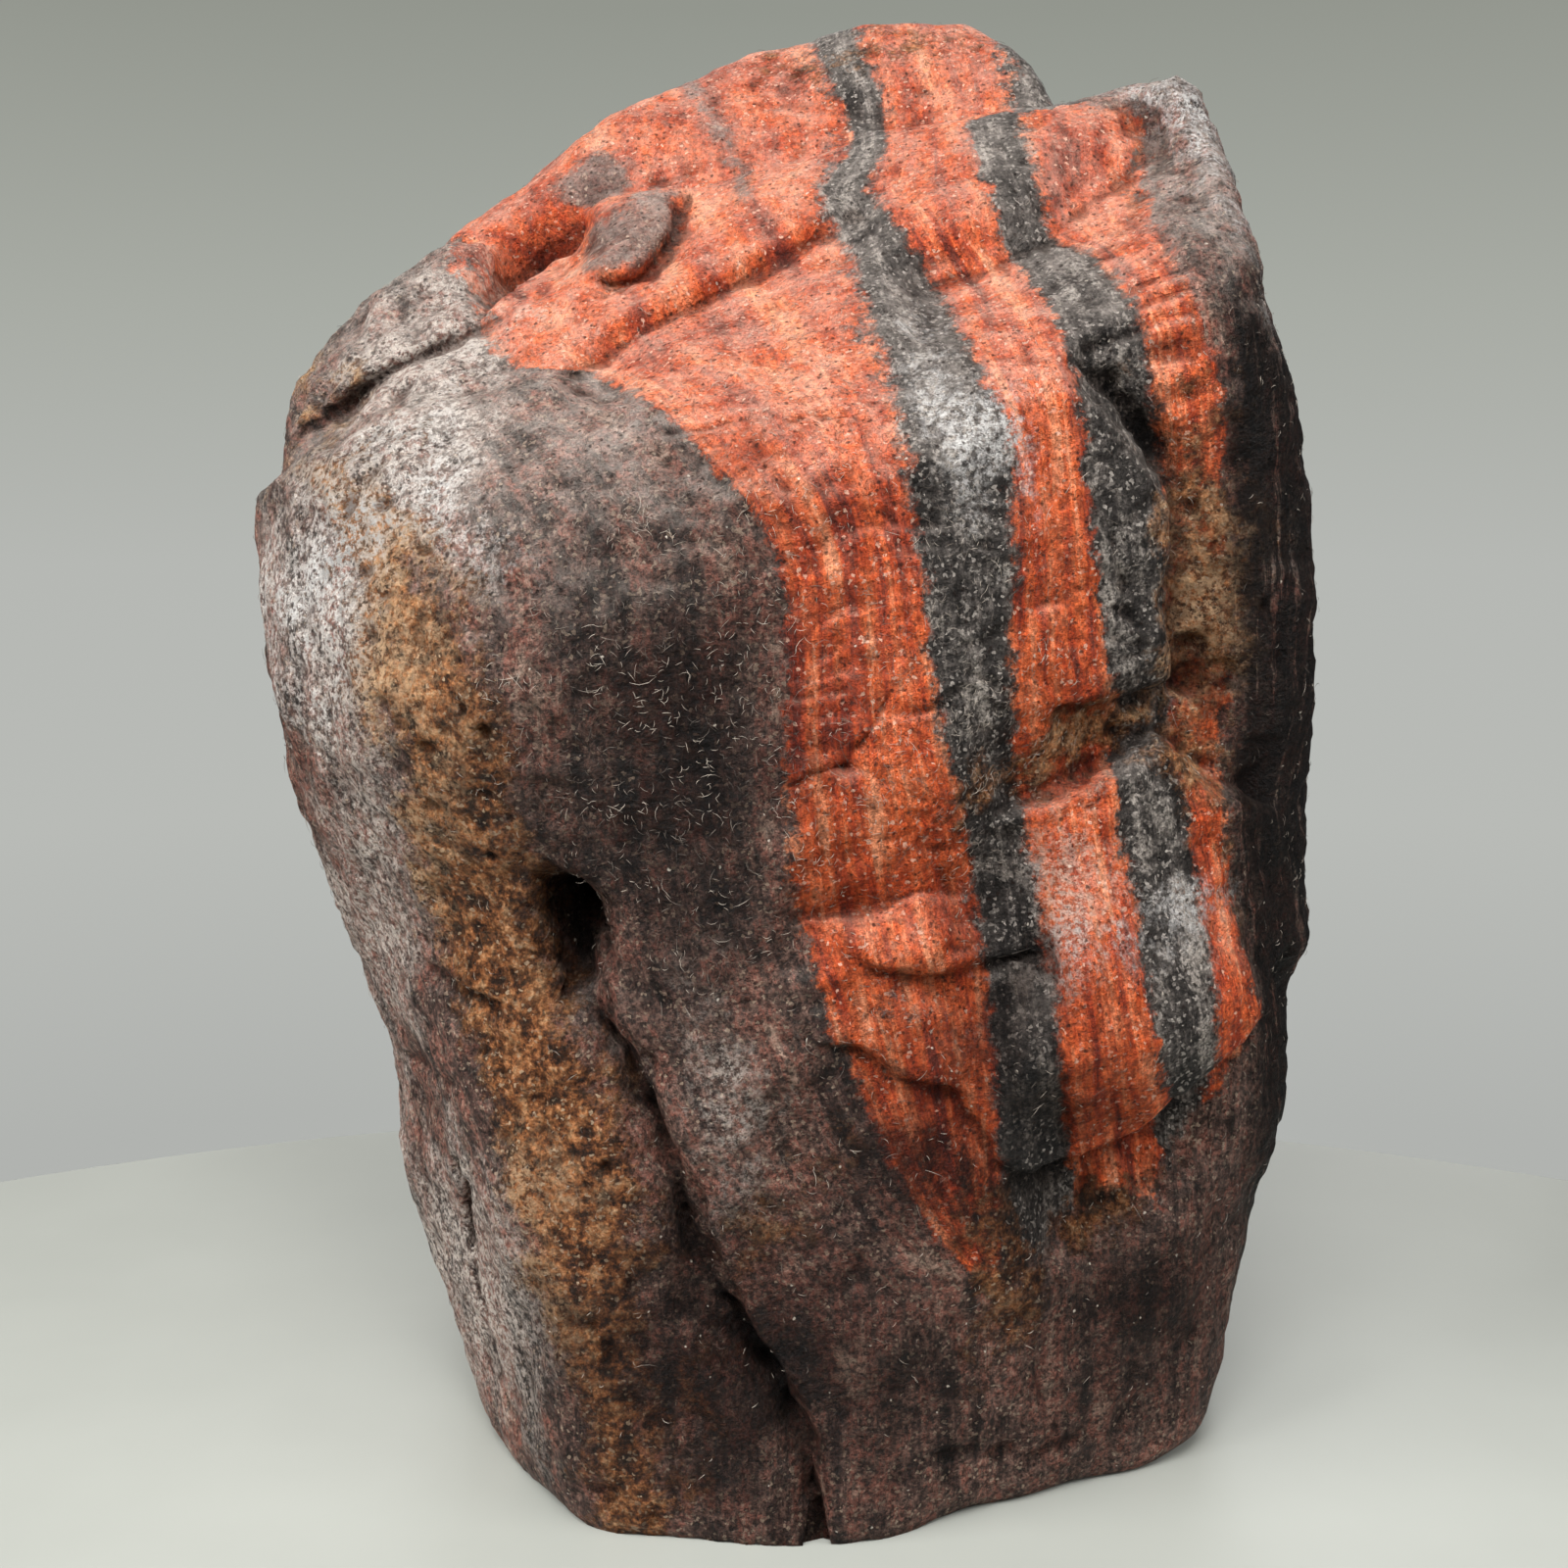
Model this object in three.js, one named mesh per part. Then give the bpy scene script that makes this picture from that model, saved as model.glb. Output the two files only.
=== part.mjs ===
// A hand-sized piece of banded ironstone, standing on the small flat spot at its foot.
//
// Units are millimetres and +Z is up. X runs to the right and Y away from the side that shows the
// bands best. The stone is one piece, so the part is one closed body.
//
// The body is a rule instead of a drawing. depthOutside(p) tells how far a point lies outside the
// stone: it starts from the flat faces the stone broke along, rounds them into each other, and then
// takes ledges, chips and hollows away. From a point inside, a ray goes out in each direction of a
// fine ball, and the vertex goes where that ray first leaves the stone.
import * as THREE from "three";
import { mergeVertices } from "three/addons/utils/BufferGeometryUtils.js";

// ---------------------------------------------------------------- driving dimensions

// Faces are measured from this point, deep inside the stone.
const HEART = new THREE.Vector3(0, 0, 50);
// The heart isn't under the middle of the stone's box, so the stone is moved by this much.
const STONE_MOVE_X = -0.4;
const STONE_MOVE_Y = 1.5;

// The ball whose directions the vertices lie in. Each edge of an icosahedron gets this many cuts.
const BALL_CUTS = 21;
// A ray is walked outwards from this distance in even steps, and its last step is then halved
// until it is this short.
const RAY_START = 20;
const RAY_STEP = 1;
const RAY_CLOSENESS = 0.0005;

// Radii, roughly, of the rounded edges where faces meet.
const EDGE_ROUND = 1.2;
const LOBE_EDGE_ROUND = 1.0;
const VALLEY_ROUND = 0.6;
const BULGE_ROUND = 1.5;

// A face: the way it looks as azimuth (0 to the front, 90 to the right) and tilt (90 straight up)
// in degrees, and its distance from the heart.
const face = (azimuth, tilt, reach) => ({ azimuth, tilt, reach });

const SIDE_FACES = [
  face(-2, -4, 29.9), // front, leaning out a little
  face(-30, -2, 31.6), // front left
  face(26, -3, 30.0), // front right
  face(-57, -10, 33.0), // left corner
  face(60, -4, 38.6), // right corner
  face(-90, -12, 32.9), // left flank, running in towards the foot
  face(-90, 22, 39.8), // left shoulder
  face(-52, 46, 38.9), // rough slab above the bulge
  face(-88, 53, 42.0), // slope from the left shoulder to the top
  face(90, -11, 39.9), // right flank, running in towards the foot
  face(90, 9, 34.9), // right flank, running in towards the top
  face(-135, -8, 37.0), // back left corner
  face(135, 0, 39.0), // back right corner
  face(180, -14, 31.0), // back, lower half
  face(180, 4, 27.5), // back, upper half
  face(0, -90, 51.0), // foot
];

// The top is two masses side by side: a ridge at the front and a higher lobe behind it.
const RIDGE_FACES = [
  face(-15, 51, 32.1), // long slope from the bulge up to the crest
  face(201, 60, 33.3), // short slope behind the crest
  face(80, 45, 55.8), // broken right end
];
const LOBE_FACES = [
  face(-8, 42, 24.1), // slope that shows above the crest
  face(-40, 76, 52.3), // left part of its top
  face(90, 87, 51.4), // top
  face(88, 32, 39.4), // steep right end
  face(180, 50, 49.0), // behind
];

// The big rounded bulge on the left of the front.
const BULGE_CENTRE = new THREE.Vector3(-14, -8, 56);
const BULGE_RADII = new THREE.Vector3(19.5, 22.5, 18.5);

// A ledge: seen from the front, a line of points [x, z]. The stone is cut back by `depth` on the
// line. The cut fades out over `left` on the left of somebody who walks along the line, and over
// `right` on the right, so a short fade is the steep face and a long one the worn hollow before it.
const ledge = (line, depth, left, right) => ({ line, depth, left, right });

const LEDGES = [
  // the rough slab lies back behind the bulge
  ledge(
    [[-37, 65.5], [-32.4, 68], [-28.3, 70.3], [-24.5, 71.9], [-20, 72.8], [-14, 74], [-8, 72]],
    1.1, 5, 0.9,
  ),
  // open crack under the slab
  ledge([[-33, 69], [-27.2, 73.2], [-24.3, 74.8], [-21.4, 76.2], [-17, 78.6]], 0.9, 0.6, 1.8),
  // diagonal step across the red slope
  ledge([[-14.6, 73], [-12, 74.2], [-7.2, 77.3], [-2.1, 80], [1, 82], [7, 84.4]], 1.0, 1.8, 6),
  // step below the upper right facet
  ledge(
    [[6, 78.7], [12.4, 79.9], [16.9, 82], [19.5, 84.4], [22.5, 86.6], [24.3, 89], [26, 93]],
    1.8, 5, 6,
  ),
  // right edge and foot of the dark slab that stands proud on the upper right
  ledge(
    [[16.6, 74.6], [19.4, 72.4], [22.3, 68.5], [23.7, 66.5], [23.8, 60.9], [24.5, 57], [24.6, 52]],
    1.7, 8, 0.8,
  ),
  ledge([[29, 56], [24.3, 54.2], [19.7, 53.6], [15, 53]], 1.0, 5, 0.9),
  // top, foot and left side of the block that stands out on the right
  ledge([[11, 46.6], [15.8, 48.3], [21.5, 50.2], [23.2, 51.1], [28, 48.1], [33, 45]], 2.0, 8, 0.9),
  ledge(
    [[35, 37], [29.7, 30.6], [25.8, 27.9], [24.5, 26.4], [22.7, 25.2], [18.2, 23.8], [13, 22.6]],
    2.2, 9, 0.9,
  ),
  ledge([[15.6, 42], [16.8, 36], [17.3, 30], [18.2, 22]], 0.6, 0.7, 3),
  // the block's front swells to a blunt edge across its middle
  ledge([[13, 35], [19, 32.6], [26, 32.6], [32, 36]], -2.6, 15, 7),
  // scalloped chip in the middle: its floor, its lip and the arc below
  ledge([[-0.5, 41.4], [2.1, 41.2], [5.3, 41.5], [8, 42.4], [11.5, 41.8], [16, 40.4]], 2.1, 9, 4.4),
  ledge([[18, 37.8], [12.3, 37.8], [9, 36.9], [5.9, 37], [3.6, 38.2], [1.8, 39.6]], 1.1, 6, 0.8),
  ledge([[0, 33], [5.4, 32.3], [10, 30.2], [12.2, 27.3], [13.6, 23]], 0.9, 0.8, 5),
  // long groove from the hole down to the foot
  ledge(
    [[-12.9, 43], [-12.7, 37.7], [-9.8, 31.8], [-7.8, 28], [-6, 20.2],
     [-2.5, 14.1], [0.4, 9.5], [1.8, 4], [2.2, -4]],
    1.5, 1.4, 3.4,
  ),
];
// The cut of a ledge runs out over this length at both ends of its line.
const LEDGE_END = 4;

// A dent, or with a negative depth a knob: an oval seen from the front, its long radius turned
// from X by `turn` degrees.
const dent = (x, z, long, short, turn, depth) => ({ x, z, long, short, turn, depth });

const DENTS = [
  dent(-17, 81.8, 4.4, 2.8, 45, 2.5), // scoop at the top left
  dent(-17.5, 80, 6, 4.6, 35, 0.8), // worn ground round the scoop
  dent(-10.6, 83.4, 3.4, 2.8, 35, -1.2), // knob beside the scoop
  dent(-12.5, 40.6, 2.0, 3.2, 12, 4), // hole at the head of the groove
  dent(26.5, 62, 2.6, 9, 4, 0.6), // recess beside the dark slab
  dent(-4.6, 30.5, 6.5, 3.4, 100, -1.0), // swelling on the right bank of the groove
  dent(-18.4, 23.5, 6.5, 3.4, 105, -0.8), // swelling low on the left flank
];
// An oval's cut runs out at this many times its radii.
const DENT_SPREAD = 1.6;
// Broken edges are never straight: their lines wander by this much, in swells of this size.
const EDGE_WANDER = 0.7;
const EDGE_WANDER_SIZE = 4;

// Ledges and dents belong to the front: they are whole up to one depth and gone at the other.
const FRONT_WHOLE_Y = 2;
const FRONT_GONE_Y = 10;
// They fade out over this height above the foot, which stays flat.
const FOOT_CLEAR = 2;

// Natural unevenness: sizes of the lumps and how far they stand out.
const LUMPS = [
  { size: 14, height: 0.9 },
  { size: 6.5, height: 0.6 },
];

// ---------------------------------------------------------------- small tools

const DEGREE = Math.PI / 180;

// A smooth step from 0 to 1.
function ramp(t) {
  const s = THREE.MathUtils.clamp(t, 0, 1);
  return s * s * (3 - 2 * s);
}

// The largest value, with the corner where two of them meet rounded off.
function roundedMax(values, round) {
  const most = Math.max(...values);
  const sum = values.reduce((total, value) => total + Math.exp((value - most) / round), 0);
  return most + round * Math.log(sum);
}

function roundedMin(values, round) {
  return -roundedMax(values.map((value) => -value), round);
}

function facing({ azimuth, tilt }) {
  const level = Math.cos(tilt * DEGREE);
  return new THREE.Vector3(
    Math.sin(azimuth * DEGREE) * level,
    -Math.cos(azimuth * DEGREE) * level,
    Math.sin(tilt * DEGREE),
  );
}

// A value from -1 to 1 for each corner of an endless grid, always the same for the same corner.
function cornerValue(i, j, k) {
  const mixed = Math.sin(i * 127.1 + j * 311.7 + k * 74.7) * 43758.5453;
  return (mixed - Math.floor(mixed)) * 2 - 1;
}

// Smooth random values from -1 to 1 in space, about one swell for each `size` of length.
function swell(point, size) {
  const { x, y, z } = point.clone().divideScalar(size);
  const [i, j, k] = [Math.floor(x), Math.floor(y), Math.floor(z)];
  const [a, b, c] = [ramp(x - i), ramp(y - j), ramp(z - k)];
  const mix = THREE.MathUtils.lerp;
  const edge = (dj, dk) => mix(cornerValue(i, j + dj, k + dk), cornerValue(i + 1, j + dj, k + dk), a);
  return mix(mix(edge(0, 0), edge(1, 0), b), mix(edge(0, 1), edge(1, 1), b), c);
}

// ---------------------------------------------------------------- the stone's rule

// A convex mass bounded by faces, as a distance that is negative inside.
function massOf(faces, round) {
  const normals = faces.map(facing);
  const fromHeart = new THREE.Vector3();
  return (point) => {
    fromHeart.subVectors(point, HEART);
    return roundedMax(faces.map((f, i) => normals[i].dot(fromHeart) - f.reach), round);
  };
}

const sides = massOf(SIDE_FACES, EDGE_ROUND);
const ridge = massOf(RIDGE_FACES, EDGE_ROUND);
const lobe = massOf(LOBE_FACES, LOBE_EDGE_ROUND);

function bulge(point) {
  const scaled = point.clone().sub(BULGE_CENTRE).divide(BULGE_RADII);
  return (scaled.length() - 1) * Math.min(...BULGE_RADII.toArray());
}

function plainBody(point) {
  const top = roundedMin([ridge(point), lobe(point)], VALLEY_ROUND);
  const block = roundedMax([sides(point), top], EDGE_ROUND);
  return roundedMin([block, bulge(point)], BULGE_ROUND);
}

function ledgeCut(x, z, { line, depth, left, right }) {
  let nearest = Infinity;
  let side = 0;
  let along = 0;
  let length = 0;
  for (let i = 1; i < line.length; i += 1) {
    const [ax, az] = line[i - 1];
    const ex = line[i][0] - ax;
    const ez = line[i][1] - az;
    const piece = Math.hypot(ex, ez);
    const t = THREE.MathUtils.clamp(((x - ax) * ex + (z - az) * ez) / piece ** 2, 0, 1);
    const dx = x - ax - t * ex;
    const dz = z - az - t * ez;
    const distance = Math.hypot(dx, dz);
    if (distance < nearest) {
      nearest = distance;
      side = ex * dz - ez * dx;
      along = length + t * piece;
    }
    length += piece;
  }
  const fade = 1 - nearest / (side >= 0 ? left : right);
  return depth * ramp(fade) * ramp(along / LEDGE_END) * ramp((length - along) / LEDGE_END);
}

function dentCut(x, z, { x: middleX, z: middleZ, long, short, turn, depth }) {
  const cos = Math.cos(turn * DEGREE);
  const sin = Math.sin(turn * DEGREE);
  const u = ((x - middleX) * cos + (z - middleZ) * sin) / long;
  const v = ((z - middleZ) * cos - (x - middleX) * sin) / short;
  return depth * ramp(1 - Math.hypot(u, v) / DENT_SPREAD);
}

function frontCuts(point) {
  const share = ramp((FRONT_GONE_Y - point.y) / (FRONT_GONE_Y - FRONT_WHOLE_Y)) * ramp(point.z / FOOT_CLEAR);
  if (share === 0) return 0;
  const wander = EDGE_WANDER * swell(point, EDGE_WANDER_SIZE);
  const x = point.x + wander;
  const z = point.z + wander;
  const ledges = LEDGES.reduce((total, cut) => total + ledgeCut(x, z, cut), 0);
  const dents = DENTS.reduce((total, cut) => total + dentCut(x, z, cut), 0);
  return share * (ledges + dents);
}

function lumpHeight(point) {
  return LUMPS.reduce((total, { size, height }) => total + height * swell(point, size), 0);
}

function depthOutside(point) {
  return plainBody(point) + frontCuts(point) - lumpHeight(point);
}

// ---------------------------------------------------------------- the stone's body

// The place where a ray from the heart first leaves the stone.
function surfacePoint(direction) {
  const pointAt = (reach) => HEART.clone().addScaledVector(direction, reach);
  let outside = RAY_START;
  while (depthOutside(pointAt(outside)) <= 0) outside += RAY_STEP;
  let inside = outside - RAY_STEP;
  while (outside - inside > RAY_CLOSENESS) {
    const middle = (inside + outside) / 2;
    if (depthOutside(pointAt(middle)) > 0) outside = middle;
    else inside = middle;
  }
  return pointAt(inside);
}

// A ball whose corners are each shared by the triangles around them.
function sharedBall() {
  const ball = new THREE.IcosahedronGeometry(1, BALL_CUTS);
  ball.deleteAttribute("normal");
  ball.deleteAttribute("uv");
  return mergeVertices(ball, 1e-5);
}

function stoneGeometry() {
  const geometry = sharedBall();
  const corners = geometry.getAttribute("position");
  const direction = new THREE.Vector3();
  for (let i = 0; i < corners.count; i += 1) {
    direction.fromBufferAttribute(corners, i).normalize();
    const { x, y, z } = surfacePoint(direction);
    // The foot is level where the stone is worn down, which gives the flat spot it stands on.
    corners.setXYZ(i, x, y, Math.max(z, 0));
  }
  geometry.computeVertexNormals();
  return geometry;
}

function ironstoneMaterial() {
  return new THREE.MeshStandardMaterial({ color: 0x6b3a2e, roughness: 0.75, metalness: 0 });
}

const ironstone = new THREE.Mesh(stoneGeometry(), ironstoneMaterial());
ironstone.name = "ironstone";
ironstone.position.set(STONE_MOVE_X, STONE_MOVE_Y, 0);

const specimen = new THREE.Group();
specimen.add(ironstone);

export default specimen;
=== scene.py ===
# %% [markdown]
# # A hand-sized piece of banded ironstone
# Banded ironstone is a very old sea-floor mud: layers of red jasper, which is quartz full of fine
# hematite, between layers of nearly black hematite. This piece was broken off by hand. Weather has
# since browned its lower half, and rust has crept along some layers.
#
# The imported model already holds the stone as one faceted solid. This lesson makes a much finer
# skin from the same rule of shape, gives it the minerals, and stands it in soft studio light.

# %% The imported model
import math

import bpy
import numpy as np
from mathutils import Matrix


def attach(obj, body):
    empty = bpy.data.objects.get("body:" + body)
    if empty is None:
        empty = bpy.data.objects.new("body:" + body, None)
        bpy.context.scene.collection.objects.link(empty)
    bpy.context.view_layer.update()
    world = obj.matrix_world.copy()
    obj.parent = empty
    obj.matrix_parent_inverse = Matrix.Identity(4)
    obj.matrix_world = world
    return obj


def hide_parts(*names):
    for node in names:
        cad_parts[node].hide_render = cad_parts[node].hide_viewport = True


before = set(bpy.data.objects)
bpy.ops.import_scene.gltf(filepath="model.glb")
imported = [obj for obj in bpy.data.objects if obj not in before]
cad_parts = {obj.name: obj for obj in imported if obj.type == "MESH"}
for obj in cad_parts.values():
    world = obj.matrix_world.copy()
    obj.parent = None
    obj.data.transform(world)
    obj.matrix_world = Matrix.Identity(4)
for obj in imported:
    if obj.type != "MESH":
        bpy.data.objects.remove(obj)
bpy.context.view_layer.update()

# %% [markdown]
# Everything on a stone is judged in millimetres, and Blender counts in metres, so one number turns
# one into the other. Colours are written as the hex values that a paint chart or a colour picker
# gives. Blender's sockets want linear light, so one function converts them. One more empties the
# node tree of a new material or world, and the last adds a node, so that each material further down
# reads as a list of what it is made of.

# %% Millimetres, colours and nodes
MM = 0.001


def linear(hex_colour):
    """An sRGB hex colour as linear red, green, blue and alpha."""
    parts = [int(hex_colour[i:i + 2], 16) / 255 for i in (1, 3, 5)]
    return [p / 12.92 if p <= 0.04045 else ((p + 0.055) / 1.055) ** 2.4 for p in parts] + [1.0]


def emptied(owner):
    """The node tree of a material or world, with nothing in it."""
    owner.use_nodes = True
    owner.node_tree.nodes.clear()
    return owner.node_tree


def add_node(tree, kind, settings=None, inputs=None, ramp=None):
    """Adds a node. Inputs are values, hex colours or other nodes; a ramp is a list of stops."""
    node = tree.nodes.new(kind)
    for name, value in (settings or {}).items():
        setattr(node, name, value)
    for name, value in (inputs or {}).items():
        if isinstance(value, bpy.types.Node):
            value = next(socket for socket in value.outputs if socket.enabled)
        if isinstance(value, bpy.types.NodeSocket):
            tree.links.new(value, node.inputs[name])
        else:
            node.inputs[name].default_value = linear(value) if isinstance(value, str) else value
    if ramp:
        stops = node.color_ramp.elements
        while len(stops) < len(ramp):
            stops.new(0.5)
        for stop, (place, colour) in zip(stops, ramp):
            stop.position = place
            stop.color = linear(colour) if isinstance(colour, str) else [colour] * 3 + [1.0]
    return node


print("jasper red in linear light:", [round(v, 3) for v in linear("#D05E2E")])


# %% [markdown]
# ## The shape
# A broken stone has no symmetry and no profile to sweep. It could be sculpted by hand, but then
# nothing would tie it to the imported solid. So the shape is a rule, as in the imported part: a
# function that is negative inside the stone and positive outside. It starts from the flat faces
# that the stone broke along. Each is named by the way it looks (azimuth 0 to the front, 90 to the
# right, tilt 90 straight up) and its distance from the heart of the stone.

# %% Flat faces that the stone broke along
HEART = np.array([0.0, 0.0, 50.0])
STONE_MOVE = np.array([-0.4, 1.5, 0.0])  # the heart isn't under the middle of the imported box

SIDE_FACES = [
    (-2, -4, 29.9),  # front, leaning out a little
    (-30, -2, 31.6),  # front left
    (26, -3, 30.0),  # front right
    (-57, -10, 33.0),  # left corner
    (60, -4, 38.6),  # right corner
    (-90, -12, 32.9),  # left flank, running in towards the foot
    (-90, 22, 39.8),  # left shoulder
    (-52, 46, 38.9),  # rough slab above the bulge
    (-88, 53, 42.0),  # slope from the left shoulder to the top
    (90, -11, 39.9),  # right flank, running in towards the foot
    (90, 9, 34.9),  # right flank, running in towards the top
    (-135, -8, 37.0),  # back left corner
    (135, 0, 39.0),  # back right corner
    (180, -14, 31.0),  # back, lower half
    (180, 4, 27.5),  # back, upper half
    (0, -90, 51.0),  # foot
]
RIDGE_FACES = [
    (-15, 51, 32.1),  # long slope from the bulge up to the crest
    (201, 60, 33.3),  # short slope behind the crest
    (80, 45, 55.8),  # broken right end
]
LOBE_FACES = [
    (-8, 42, 24.1),  # slope that shows above the crest
    (-40, 76, 52.3),  # left part of its top
    (90, 87, 51.4),  # top
    (88, 32, 39.4),  # steep right end
    (180, 50, 49.0),  # behind
]
BULGE_CENTRE = np.array([-14.0, -8.0, 56.0])
BULGE_RADII = np.array([19.5, 22.5, 18.5])

# Radii, roughly, of the rounded edges where faces meet.
EDGE_ROUND = 1.2
LOBE_EDGE_ROUND = 1.0
VALLEY_ROUND = 0.6
BULGE_ROUND = 1.5
print("flat faces:", len(SIDE_FACES) + len(RIDGE_FACES) + len(LOBE_FACES))

# %% [markdown]
# Two masses meet in a softened edge when the larger (or smaller) of their two distances is taken
# with a little rounding. That is all it takes to join the ridge, the lobe behind it and the big
# bulge into one body.


# %% The plain body
def ramp(t):
    """A smooth step from 0 to 1."""
    s = np.clip(t, 0, 1)
    return s * s * (3 - 2 * s)


def rounded_max(values, rounding):
    most = np.maximum.reduce(values)
    return most + rounding * np.log(sum(np.exp((v - most) / rounding) for v in values))


def rounded_min(values, rounding):
    return -rounded_max([-v for v in values], rounding)


def facing(azimuth, tilt):
    a, e = math.radians(azimuth), math.radians(tilt)
    return np.array([math.sin(a) * math.cos(e), -math.cos(a) * math.cos(e), math.sin(e)])


def mass(points, faces, rounding):
    """A convex mass bounded by faces, as a distance that is negative inside."""
    from_heart = points - HEART
    return rounded_max([from_heart @ facing(a, t) - reach for a, t, reach in faces], rounding)


def plain_body(points):
    sides = mass(points, SIDE_FACES, EDGE_ROUND)
    ridge = mass(points, RIDGE_FACES, EDGE_ROUND)
    lobe = mass(points, LOBE_FACES, LOBE_EDGE_ROUND)
    block = rounded_max([sides, rounded_min([ridge, lobe], VALLEY_ROUND)], EDGE_ROUND)
    scaled = (points - BULGE_CENTRE) / BULGE_RADII
    bulge = (np.linalg.norm(scaled, axis=1) - 1) * BULGE_RADII.min()
    return rounded_min([block, bulge], BULGE_ROUND)


print("depth of the heart below the surface, mm:", -plain_body(HEART[None])[0].round(1))


# %% [markdown]
# ## Ledges, chips and dents
# Ironstone splits along its layers and chips like glass across them, which leaves steps. Seen
# from the front each step is a line of points (x, z). The stone is cut back by a depth on the
# line, and the cut fades out over one width on its left and another on its right, so a short fade
# is the steep face and a long one is the worn hollow before it. The first list is the packed
# part's own. The second holds what is too fine for its facets: cracks, creases, and the last
# millimetre of the main steps, which makes their walls crisp.

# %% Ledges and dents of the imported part: line, depth, fade on the left, fade on the right
LEDGES = [
    # the rough slab lies back behind the bulge
    ([(-37, 65.5), (-32.4, 68), (-28.3, 70.3), (-24.5, 71.9), (-20, 72.8), (-14, 74), (-8, 72)], 1.1, 5, 0.9),
    # open crack under the slab
    ([(-33, 69), (-27.2, 73.2), (-24.3, 74.8), (-21.4, 76.2), (-17, 78.6)], 0.9, 0.6, 1.8),
    # diagonal step across the red slope
    ([(-14.6, 73), (-12, 74.2), (-7.2, 77.3), (-2.1, 80), (1, 82), (7, 84.4)], 1.0, 1.8, 6),
    # step below the upper right facet
    ([(6, 78.7), (12.4, 79.9), (16.9, 82), (19.5, 84.4), (22.5, 86.6), (24.3, 89), (26, 93)], 1.8, 5, 6),
    # right edge and foot of the dark slab that stands proud on the upper right
    ([(16.6, 74.6), (19.4, 72.4), (22.3, 68.5), (23.7, 66.5), (23.8, 60.9), (24.5, 57), (24.6, 52)],
     1.7, 8, 0.8),
    ([(29, 56), (24.3, 54.2), (19.7, 53.6), (15, 53)], 1.0, 5, 0.9),
    # top, foot and left side of the block that stands out on the right
    ([(11, 46.6), (15.8, 48.3), (21.5, 50.2), (23.2, 51.1), (28, 48.1), (33, 45)], 2.0, 8, 0.9),
    ([(35, 37), (29.7, 30.6), (25.8, 27.9), (24.5, 26.4), (22.7, 25.2), (18.2, 23.8), (13, 22.6)],
     2.2, 9, 0.9),
    ([(15.6, 42), (16.8, 36), (17.3, 30), (18.2, 22)], 0.6, 0.7, 3),
    # the block's front swells to a blunt edge across its middle
    ([(13, 35), (19, 32.6), (26, 32.6), (32, 36)], -2.6, 15, 7),
    # scalloped chip in the middle: its floor, its lip and the arc below
    ([(-0.5, 41.4), (2.1, 41.2), (5.3, 41.5), (8, 42.4), (11.5, 41.8), (16, 40.4)], 2.1, 9, 4.4),
    ([(18, 37.8), (12.3, 37.8), (9, 36.9), (5.9, 37), (3.6, 38.2), (1.8, 39.6)], 1.1, 6, 0.8),
    ([(0, 33), (5.4, 32.3), (10, 30.2), (12.2, 27.3), (13.6, 23)], 0.9, 0.8, 5),
    # long groove from the hole down to the foot
    ([(-12.9, 43), (-12.7, 37.7), (-9.8, 31.8), (-7.8, 28), (-6, 20.2), (-2.5, 14.1), (0.4, 9.5),
      (1.8, 4), (2.2, -4)], 1.5, 1.4, 3.4),
]
LEDGE_END = 4.0  # a cut fades in and out over this length at the ends of its line

# centre x and z, long and short radius, turn from X in degrees, depth (negative for a knob)
DENTS = [
    (-17, 81.8, 4.4, 2.8, 45, 2.5),  # scoop at the top left
    (-17.5, 80, 6, 4.6, 35, 0.8),  # worn ground round the scoop
    (-10.6, 83.4, 3.4, 2.8, 35, -1.2),  # knob beside the scoop
    (-12.5, 40.6, 2.0, 3.2, 12, 4),  # hole at the head of the groove
    (26.5, 62, 2.6, 9, 4, 0.6),  # recess beside the dark slab
    (-4.6, 30.5, 6.5, 3.4, 100, -1.0),  # swelling on the right bank of the groove
    (-18.4, 23.5, 6.5, 3.4, 105, -0.8),  # swelling low on the left flank
]
DENT_SPREAD = 1.6  # a dent reaches this many times its radii

EDGE_WANDER = 0.7  # every line wanders to and fro by this much
EDGE_WANDER_SIZE = 4.0
FRONT_WHOLE_Y = 2.0  # cuts are whole before this, and gone behind the next
FRONT_GONE_Y = 10.0
FOOT_CLEAR = 2.0  # cuts fade out this far above the foot

LUMPS = [(14, 0.9), (6.5, 0.6)]  # size and height
print("ledges and dents:", len(LEDGES), len(DENTS))

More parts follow.
